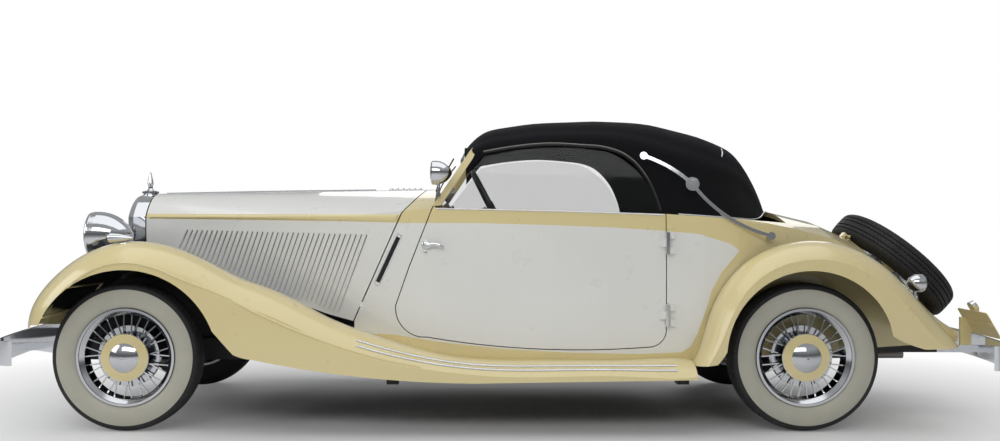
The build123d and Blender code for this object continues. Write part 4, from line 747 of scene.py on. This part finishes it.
# the half-round moulding along each bonnet side
MOULDING_CUTS, MOULDING_ROWS = 60, 6
moulding = strip([(along_at(-40), 1.060), (along_at(640), 1.058), (along_at(1310), 1.055)],
                 [(along_at(-40), 1.037), (along_at(640), 1.030), (along_at(1300), 1.020)],
                 MOULDING_CUTS, MOULDING_ROWS)
laid_on(moulding, nodes["bonnet_left"], 0.001)
for number, point in enumerate(moulding.data.vertices):
    up_share = number // (MOULDING_CUTS + 1) / MOULDING_ROWS
    point.co.y -= 0.006 * math.sin(math.pi * up_share) ** 0.7
with_modifier(moulding, "SOLIDIFY", thickness=0.004, offset=-1)
pair(moulding, "bonnet_moulding", cream_paint, 60, "bonnet")

# six bright fins on the scuttle, behind the bonnet's hinge
FINS, FIN_PITCH = 6, 32
for i in range(FINS):
    fin = turned([(0.0, 0.0), (0.010, 0.003), (0.020, 0.0085), (0.026, 0.011), (0.030, 0.009),
                  (0.031, 0.0)], at(1216 + FIN_PITCH * i, 0, 1196), (1, 0, 0), 20)
    finished(fin, f"scuttle_fin_{i + 1}", chrome)

hinge_bar = wire([at(-20, 0, 1176), at(600, 0, 1188), at(1150, 0, 1195)], 0.0035)
finished(hinge_bar, "bonnet_hinge_bar", chrome)

# ---------------------------------------------------------------- fenders and running boards
BEAD_LINE = [(-362, 565), (-268, 673), (-173, 758), (-78, 806), (40, 825), (158, 806),
             (300, 749), (489, 673), (679, 579), (952, 464), (1242, 372), (1436, 332)]
bead = wire([beside(x, z) for x, z in BEAD_LINE], 0.006, onto=nodes["front_fender_left"])
pair(bead, "fender_bead", cream_paint, 60)


def top_of(names, station, y):
    """The highest face of some nodes at a spot in plan, or None beside them."""
    start = Vector((along_at(station), y, 3))
    casts = [nodes[name].ray_cast(start, Vector((0, 0, -1))) for name in names]
    return max((place for hit, place, normal, face in casts if hit), key=lambda place: place.z,
               default=None)


for number, y in enumerate((-0.838, -0.812), 1):
    places = [top_of(["front_fender_left"], station, y) for station in range(1130, 2701, 90)]
    board = wire([place + Vector((0, 0, 0.002)) for place in places if place], 0.0055)
    pair(board, f"board_strip_{number}", chrome, 60)

# black valances close the front arches towards the engine
valance = block(at(150, -330, 530), (0.90, 0.003, 0.38))
pair(valance, "arch_valance", chassis_black)


# ---------------------------------------------------------------- doors and scuttle
def skin_at(node, station, z):
    """The left face of a node at a spot in side view."""
    hit, place, normal, face = nodes[node].ray_cast(Vector((along_at(station), -3, z)),
                                                    Vector((0, 1, 0)))
    return place


seat = skin_at("door_left", 1457, 0.905)
rose = turned([(-0.002, 0.0), (-0.002, 0.022), (0.003, 0.0235), (0.007, 0.020), (0.009, 0.012),
               (0.026, 0.010), (0.030, 0.012), (0.036, 0.0115), (0.040, 0.008), (0.041, 0.0)],
              seat, (0, -1, 0), 32)
lever = wire([seat + Vector((-0.004, -0.034, 0)), seat + Vector((0.03, -0.037, 0.002)),
              seat + Vector((0.06, -0.036, 0)), seat + Vector((0.085, -0.032, -0.008))], 0.0065)
with_modifier(lever, "REMESH", mode="VOXEL", voxel_size=0.0016)
for point in lever.data.vertices:
    run = (point.co.x - seat.x) / 0.085
    point.co.z = seat.z + (point.co.z - seat.z) * (1.25 + 0.3 * math.sin(run * 3))
pair(joined([rose, lever]), "door_handle", chrome, 50, "door")
lock = turned([(-0.002, 0.0), (-0.002, 0.009), (0.003, 0.0085), (0.004, 0.006), (0.004, 0.0)],
              skin_at("door_left", 1452, 0.868), (0, -1, 0), 24)
pair(lock, "door_lock", chrome, on="door")

# the arm of the turn signal lies in a slot in the scuttle side
SIGNAL_W = 0.0125
slot_top = skin_at("body_tub", 1322, 0.955)
slot_foot = skin_at("body_tub", 1203, 0.703)
slot_middle = (slot_top + slot_foot) / 2
slot_long = (slot_top - slot_foot).length
lean = math.atan2(slot_top.x - slot_foot.x, slot_top.z - slot_foot.z)


def in_slot(a, b):
    """A spot in side view, a across the signal's slot and b up along it from its middle."""
    return (slot_middle.x + a * math.cos(lean) + b * math.sin(lean),
            slot_middle.z - a * math.sin(lean) + b * math.cos(lean))


loop = []
for end in (1, -1):
    for step in range(7):
        turn = math.pi * step / 6
        x, z = in_slot(SIGNAL_W * math.cos(turn) * end,
                       (slot_long / 2 - SIGNAL_W + SIGNAL_W * math.sin(turn)) * end)
        loop.append(Vector((x, BESIDE_Y, z)))
signal_rim = wire(loop, 0.0032, closed=True, onto=nodes["body_tub"])
pair(signal_rim, "signal_rim", chrome, 60)
ARM_HALF_W, arm_half = 0.0105, slot_long / 2 - 0.016
signal_arm = strip([in_slot(-ARM_HALF_W, -arm_half), in_slot(-ARM_HALF_W, arm_half)],
                   [in_slot(ARM_HALF_W, -arm_half), in_slot(ARM_HALF_W, arm_half)], 20, 4)
laid_on(signal_arm, nodes["body_tub"], 0.0008)
with_modifier(signal_arm, "SOLIDIFY", thickness=0.0016, offset=-1)
pair(signal_arm, "signal_arm", black_moulding, 60)

# bright bead along the door tops
DOOR_TOP = [(1505, 1084), (1800, 1078), (2070, 1072), (2350, 1064), (2625, 1053)]
top_bead = wire([beside(x, z) for x, z in DOOR_TOP], 0.004, onto=nodes["door_left"])
pair(top_bead, "door_top_bead", chrome, 60, "door")

# bright covers on the door hinges
COVER_HALF, COVER_IN, COVER_OUT = 0.0535, 0.0094, 0.0106
for number, z in enumerate((561, 915), 1):
    cover = turned([(-COVER_HALF, COVER_IN), (-COVER_HALF, COVER_OUT), (COVER_HALF, COVER_OUT),
                    (COVER_HALF, COVER_IN), (-COVER_HALF, COVER_IN)],
                   at(2642, -705, z), (0, 0, 1), 28)
    pair(cover, f"hinge_cover_{number}", chrome)

# ---------------------------------------------------------------- lamps
# sections as shares of the lamp's radius: ahead, then out from its middle
GLASS = [(0.0, 0.0), (-0.16, 0.0), (-0.13, 0.5), (-0.04, 0.88), (0.02, 0.90), (0.0, 0.0)]
RIM = [(0.04, 0.87), (-0.06, 0.86), (-0.09, 0.91), (-0.06, 0.97), (0.04, 1.0), (0.12, 0.98),
       (0.04, 0.87)]
for name, middle, radius in (("headlamp", at(-276, -420, 950), 0.119),
                             ("side_lamp", at(-58, -720, 941), 0.0225)):
    for part, section, slot, finish in (("glass", GLASS, "glass", lamp_glass),
                                        ("rim", RIM, "chrome", chrome)):
        piece = turned([(radius * a, radius * r) for a, r in section], middle, (1, 0, 0), 48)
        pair(piece, f"{name}_{part}", finish, 60)

tail_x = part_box("tail_lamps")[1].x
glass = turned([(-0.004, 0.0), (-0.004, 0.034), (0.002, 0.033), (0.006, 0.022), (0.008, 0.0)],
               (tail_x, -0.600, 0.713), (1, 0, 0), 40)
pair(glass, "tail_lamp_glass", red_glass, 60)

search_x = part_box("search_lamp")[0].x
glass = turned([(0.0, 0.0), (-0.008, 0.0), (-0.006, 0.030), (0.0, 0.047), (0.002, 0.047),
                (0.0, 0.0)], (search_x + 0.003, -0.655, 1.262), (1, 0, 0), 40)
finished(glass, "search_lamp_glass", lamp_glass, 60)

# ---------------------------------------------------------------- hood
# station, half-width and height of the foot, of the side rail, then the crown's height
HOOD_BOWS = [
    (1652, 606, 1040, 556, 1338, 1412), (1690, 612, 1040, 562, 1362, 1462),
    (1758, 626, 1040, 568, 1385, 1517), (1842, 640, 1040, 575, 1398, 1535),
    (2066, 660, 1040, 582, 1418, 1563), (2289, 668, 1030, 586, 1420, 1568),
    (2460, 671, 1010, 584, 1398, 1569), (2580, 672, 1000, 576, 1358, 1565),
    (2764, 668, 990, 552, 1290, 1532), (2950, 648, 980, 520, 1225, 1478),
    (3030, 622, 975, 480, 1205, 1444), (3078, 596, 970, 430, 1190, 1418),
    (3130, 550, 965, 405, 1150, 1350), (3184, 470, 960, 365, 1080, 1262),
    (3245, 290, 955, 240, 1030, 1170), (3306, 90, 950, 76, 985, 1080)]


def hood_section(row, grow=0.0):
    """One cross-section of the cloth from the left foot over the crown to the right foot."""
    x, foot_y, foot_z, rail_y, rail_z, crown = row
    shoulder_y, shoulder_z = rail_y * 0.86, rail_z + (crown - rail_z) * 0.45
    side = [(foot_y + (rail_y - foot_y) * t, foot_z + (rail_z - foot_z) * t)
            for t in (0, 0.25, 0.5, 0.75, 1)]
    round_rail = [(rail_y * 0.965, rail_z + (shoulder_z - rail_z) * 0.55 + 6),
                  (shoulder_y, shoulder_z)]
    over = [(shoulder_y * math.cos(t), shoulder_z + (crown - shoulder_z) * math.sin(t))
            for t in (0.35, 0.75, 1.15)]
    half = side + round_rail + over
    loop = ([(-y - grow, z) for y, z in half] + [(0, crown)]
            + [(y + grow, z) for y, z in reversed(half)])
    return [at(x, y, z) for y, z in loop]


sections = [hood_section(row) for row in HOOD_BOWS]
bpy.ops.mesh.primitive_grid_add(x_subdivisions=len(sections) - 1,
                                y_subdivisions=len(sections[0]) - 1, size=1)
hood = bpy.context.object
for number, point in enumerate(hood.data.vertices):
    point.co = sections[number % len(sections)][number // len(sections)]
with_modifier(hood, "SUBSURF", levels=2, render_levels=2)

# the cloth sinks a little between its bows and draws tight over them
BOW_STATIONS = [1700, 2010, 2330, 2640, 2890, 3120]
SAG, SAG_FROM = 0.0025, 1.30
for point in hood.data.vertices:
    station = (point.co.x + AXLE) * 1000
    high_up = (point.co.z - SAG_FROM) / 0.12
    if BOW_STATIONS[0] < station < BOW_STATIONS[-1] and high_up > 0:
        i = max(k for k in range(len(BOW_STATIONS) - 1) if BOW_STATIONS[k] <= station)
        t = (station - BOW_STATIONS[i]) / (BOW_STATIONS[i + 1] - BOW_STATIONS[i])
        point.co.z -= SAG * math.sin(math.pi * t) ** 1.5 * min(1, high_up)
with_modifier(hood, "SOLIDIFY", thickness=0.004, offset=-1)
outward(hood)


def cut_through(cloth, outline):
    """Cuts an outline in side view out of the cloth on both sides."""
    def fill():
        bpy.ops.mesh.edge_face_add()
        bpy.ops.mesh.extrude_region_move(TRANSFORM_OT_translate={"value": (0, 2, 0)})
    piece = traced([Vector((x, -1, z)) for x, z in outline], fill)
    with_modifier(cloth, "BOOLEAN", operation="DIFFERENCE", object=piece, solver="EXACT")
    bpy.data.objects.remove(piece)


def spread(knots):
    """Points along a smooth curve through knots of (station, z), in metres."""
    line, steps = [], 6
    for i in range(len(knots) - 1):
        before, a = Vector(knots[max(i - 1, 0)]), Vector(knots[i])
        b, after = Vector(knots[i + 1]), Vector(knots[min(i + 2, len(knots) - 1)])
        for step in range(steps):
            t = step / steps
            point = 0.5 * (2 * a + (b - before) * t
                           + (2 * before - 5 * a + 4 * b - after) * t * t
                           + (3 * a - before - 3 * b + after) * t ** 3)
            line.append((along_at(point.x), point.y / 1000))
    line.append((along_at(knots[-1][0]), knots[-1][1] / 1000))
    return line


WINDOW_TOP = [(1741, 1357), (1900, 1383), (2071, 1397), (2220, 1390), (2368, 1372),
              (2460, 1330), (2540, 1243), (2590, 1140), (2612, 1064)]
WINDOW_FOOT = [(2646, 1058), (2646, 900), (1450, 900), (1450, 1085), (1535, 1092)]
cut_through(hood, spread(WINDOW_TOP) + [(along_at(x), z / 1000) for x, z in WINDOW_FOOT])

# the cloth's foot follows the deck: station and half-width
FOOT_LINE = [(2700, 662), (2790, 660), (2870, 656), (2950, 645), (3020, 624), (3080, 592),
             (3135, 545), (3184, 468), (3224, 372), (3256, 270), (3284, 165), (3306, 70)]
FOOT_DEEP = 0.006
deck = [top_of(["body_tub", "boot_lid", "rear_fender_left"], station, -y / 1000)
        for station, y in FOOT_LINE]
deck = [place for place in deck if place]
front_x, aft_x, low_z = -0.34, deck[-1].x + 0.08, 0.8
cut_through(hood, [(place.x, place.z - FOOT_DEEP) for place in deck]
            + [(aft_x, deck[-1].z - FOOT_DEEP), (aft_x, low_z), (front_x, low_z),
               (front_x, deck[0].z - 0.002)])
finished(hood, "hood_cloth", hood_cloth, 40)
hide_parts("soft_top")


def over_hood(station, grow=0.0):
    """Places across the hood on one line of its bows."""
    i = max(k for k in range(len(HOOD_BOWS) - 1) if HOOD_BOWS[k][0] <= station)
    a, b = HOOD_BOWS[i], HOOD_BOWS[i + 1]
    t = (station - a[0]) / (b[0] - a[0])
    return hood_section([p + (q - p) * t for p, q in zip(a, b)], grow)


for number, station in enumerate((2010, 2330, 2640, 2890), 1):
    seam = wire(over_hood(station)[5:-5], 0.0024)
    with_modifier(seam, "SHRINKWRAP", target=hood, offset=0.0004)
    finished(seam, f"hood_seam_{number}", hood_cloth, 60)
front_hem = wire(over_hood(1652, 0.5)[4:-4], 0.007)
finished(front_hem, "hood_front_roll", hood_cloth, 60)

# black rubber and a thin steel line round each side window
EDGE_LEAN = 0.00002
WINDOW = [(1741, 1365), (1900, 1391), (2071, 1405), (2220, 1398), (2370, 1381), (2466, 1338),
          (2547, 1248), (2597, 1144), (2618, 1074)]
for kind, grow, thick, slot, finish in (("rubber", 0, 0.0055, "tyre", black_rubber),
                                        ("line", 9, 0.0028, "chrome", steel)):
    edge = wire([beside(x + (1390 - z) * grow * EDGE_LEAN, z + grow) for x, z in WINDOW],
                thick, onto=hood)
    pair(edge, f"window_{kind}", finish, 60)

# bright strip round the foot of the hood, on the deck, and the tips of its last bow
for side, hand in SIDES:
    foot = [Vector((place.x, -hand * (place.y - 0.004), place.z + 0.003)) for place in deck]
    strip_line = wire(foot, 0.0045)
    finished(strip_line, f"hood_foot_strip_{side}", chrome, 60)
    barb = wire([at(2972, hand * 418, 1331), at(2979, hand * 412, 1356),
                 at(2984, hand * 402, 1378), at(2980, hand * 392, 1398)], 0.0045)
    finished(barb, f"hood_bow_end_{side}", chrome, 60)


# ---------------------------------------------------------------- seats
FLUTE_DEEP = 0.011


def cushion(name, middle, size, tilt, flutes):
    """A stuffed cushion: crowned, pinched at its corners and sewn into flutes."""
    piece = block((0, 0, 0), size, bevel=min(size) * 0.28, segments=4)
    with_modifier(piece, "SUBSURF", levels=1, render_levels=1, subdivision_type="SIMPLE")
    work(piece, lambda: bpy.ops.mesh.subdivide(number_cuts=3, smoothness=0))
    half = [s / 2 for s in size]
    for point in piece.data.vertices:
        x, y, z = point.co
        u, v, w = x / half[0], y / half[1], z / half[2]
        if w > -0.2:
            crown = (1 - u * u) * (1 - v * v)
            point.co.z += half[2] * 0.20 * max(crown, 0) - half[2] * 0.10
            valley = abs(math.sin(math.pi * y * flutes / size[1]))
            inside = max(0.0, 1 - max(abs(u), abs(v)) ** 6)
            point.co.z -= FLUTE_DEEP * (1 - valley) ** 3 * inside * max(w, 0)
        waist = 1 - 0.04 * (1 - w * w)
        point.co.x *= waist if abs(u) > 0.6 else 1
        point.co.y *= waist if abs(v) > 0.6 else 1
    piece.rotation_euler = (0, tilt, 0)
    piece.location = middle
    finished(piece, name, seat_leather, 60)
    return piece


SQUAB_LEAN = math.radians(8)
UPRIGHT = -math.pi / 2
for side, hand in SIDES:
    y = hand * 300
    base = cushion(f"front_cushion_{side}", at(2190, y, 600), (0.44, 0.49, 0.135),
                   math.radians(4), 7)
    cushion(f"front_squab_{side}", at(2452, y, 835), (0.43, 0.49, 0.105), UPRIGHT + SQUAB_LEAN, 7)
    shell = block(at(2508, y, 800), (0.030, 0.484, 0.50), (0, SQUAB_LEAN, 0), 0.012, 3)
    finished(shell, f"front_seat_back_{side}", seat_leather)
    plinth = block(at(2215, y, 476), (0.48, 0.46, 0.105), (0, 0, 0), 0.014, 3)
    finished(plinth, f"front_seat_plinth_{side}", seat_leather)
    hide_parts("front_seats")
rear_base = cushion("rear_cushion", at(2925, 0, 672), (0.36, 1.02, 0.13), math.radians(-2), 13)
cushion("rear_squab", at(3128, 0, 830), (0.30, 1.02, 0.10), UPRIGHT + math.radians(10), 13)
rear_box = block(at(2930, 0, 592), (0.30, 1.00, 0.05), (0, 0, 0), 0.012, 3)
finished(rear_box, "rear_seat_box", seat_leather)
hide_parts("rear_seat")

# ---------------------------------------------------------------- instruments, mirror, wipers
for number, (y, z, radius) in enumerate([(-350, 1055, 0.048), (-240, 1060, 0.036),
                                         (-140, 1060, 0.036), (0, 1052, 0.040)], 1):
    middle = at(1581, y, z)
    dial = turned([(0.0, 0.0), (0.0, radius * 0.86), (0.002, radius * 0.86), (0.003, 0.0)],
                  middle, (1, 0, 0), 40)
    finished(dial, f"dial_{number}", dial_face)
    inner = radius * 0.84
    bezel = turned([(-0.004, inner), (0.004, inner), (0.008, radius * 0.92), (0.005, radius),
                    (-0.004, radius), (-0.004, inner)], middle, (1, 0, 0), 40)
    finished(bezel, f"dial_bezel_{number}", chrome, 60)

mirror_back = turned([(0.0, 0.0), (0.001, 0.034), (0.005, 0.036), (0.012, 0.030), (0.018, 0.012),
                      (0.019, 0.0)], at(1640, 0, 1352), (-1, 0, 0), 32)
for point in mirror_back.data.vertices:
    point.co.y *= 2.2
finished(mirror_back, "cabin_mirror", chrome)
mirror_stem = wire([at(1630, 0, 1355), at(1640, 0, 1390), at(1662, 0, 1422)], 0.0045)
finished(mirror_stem, "cabin_mirror_stem", chrome)
arm = wire([at(1492, -250, 1176), at(1504, -262, 1215), at(1556, -300, 1300)], 0.0035)
blade = wire([at(1532, -210, 1262), at(1560, -300, 1304), at(1588, -385, 1346)], 0.004)
pair(joined([arm, blade]), "wiper", black_moulding)

# ---------------------------------------------------------------- studio
WHITE = (1.0, 1.0, 1.0, 1.0)
bpy.ops.mesh.primitive_plane_add(size=60, location=(0, 0, 0))
floor = bpy.context.object
floor.name = "studio_floor"
floor_finish = Finish("studio_floor", Roughness=0.6)
spot, along, across = floor_finish.place()[:3]
grain = floor_finish.noise(spot, 30.0)
floor_finish.pour(Base_Color=floor_finish.blend(grain, tint(238, 238, 238), tint(234, 234, 234)))
far = (along * along * 0.06 + across * across * 0.10).above(0.55, 0.9)
seen_far = floor_finish.lay("ShaderNodeLightPath", out="Is Camera Ray") * far
near_floor = Coat(floor_finish, floor_finish.shader.outputs[0])
backdrop = floor_finish.lay("ShaderNodeEmission", None, {"Color": WHITE, "Strength": 1.0})
mixed = floor_finish.lay("ShaderNodeMixShader", None, {0: seen_far, 1: near_floor, 2: backdrop})
floor_finish.join(mixed, floor_finish.tree.nodes["Material Output"].inputs[0])
floor.data.materials.append(floor_finish.material)


class Surround(Finish):
    """The studio's walls and ceiling, in the world's own node tree."""

    def __init__(self, name):
        world = bpy.data.worlds.new(name)
        bpy.context.scene.world = world
        world.use_nodes = True
        self.tree = world.node_tree


# dim at eye level and lighter above, for the reflections; plain white to the camera
HEIGHTS = [(0.0, 0.18), (0.10, 0.12), (0.26, 0.24), (0.48, 0.42), (1.0, 0.36)]
studio = Surround("studio_world")
height = studio.parts(studio.lay("ShaderNodeTexCoord", out="Generated"))[2]
wall = studio.lay("ShaderNodeValToRGB", {"stops": [
    (spot, (shade * 0.97, shade * 0.985, shade, 1)) for spot, shade in HEIGHTS]}, {0: height})
mixed = studio.lay("ShaderNodeMixShader", None, {
    0: studio.lay("ShaderNodeLightPath", out="Is Camera Ray"),
    1: studio.lay("ShaderNodeBackground", None, {"Color": wall}),
    2: studio.lay("ShaderNodeBackground", None, {"Color": WHITE})})
studio.join(mixed, studio.tree.nodes["World Output"].inputs[0])
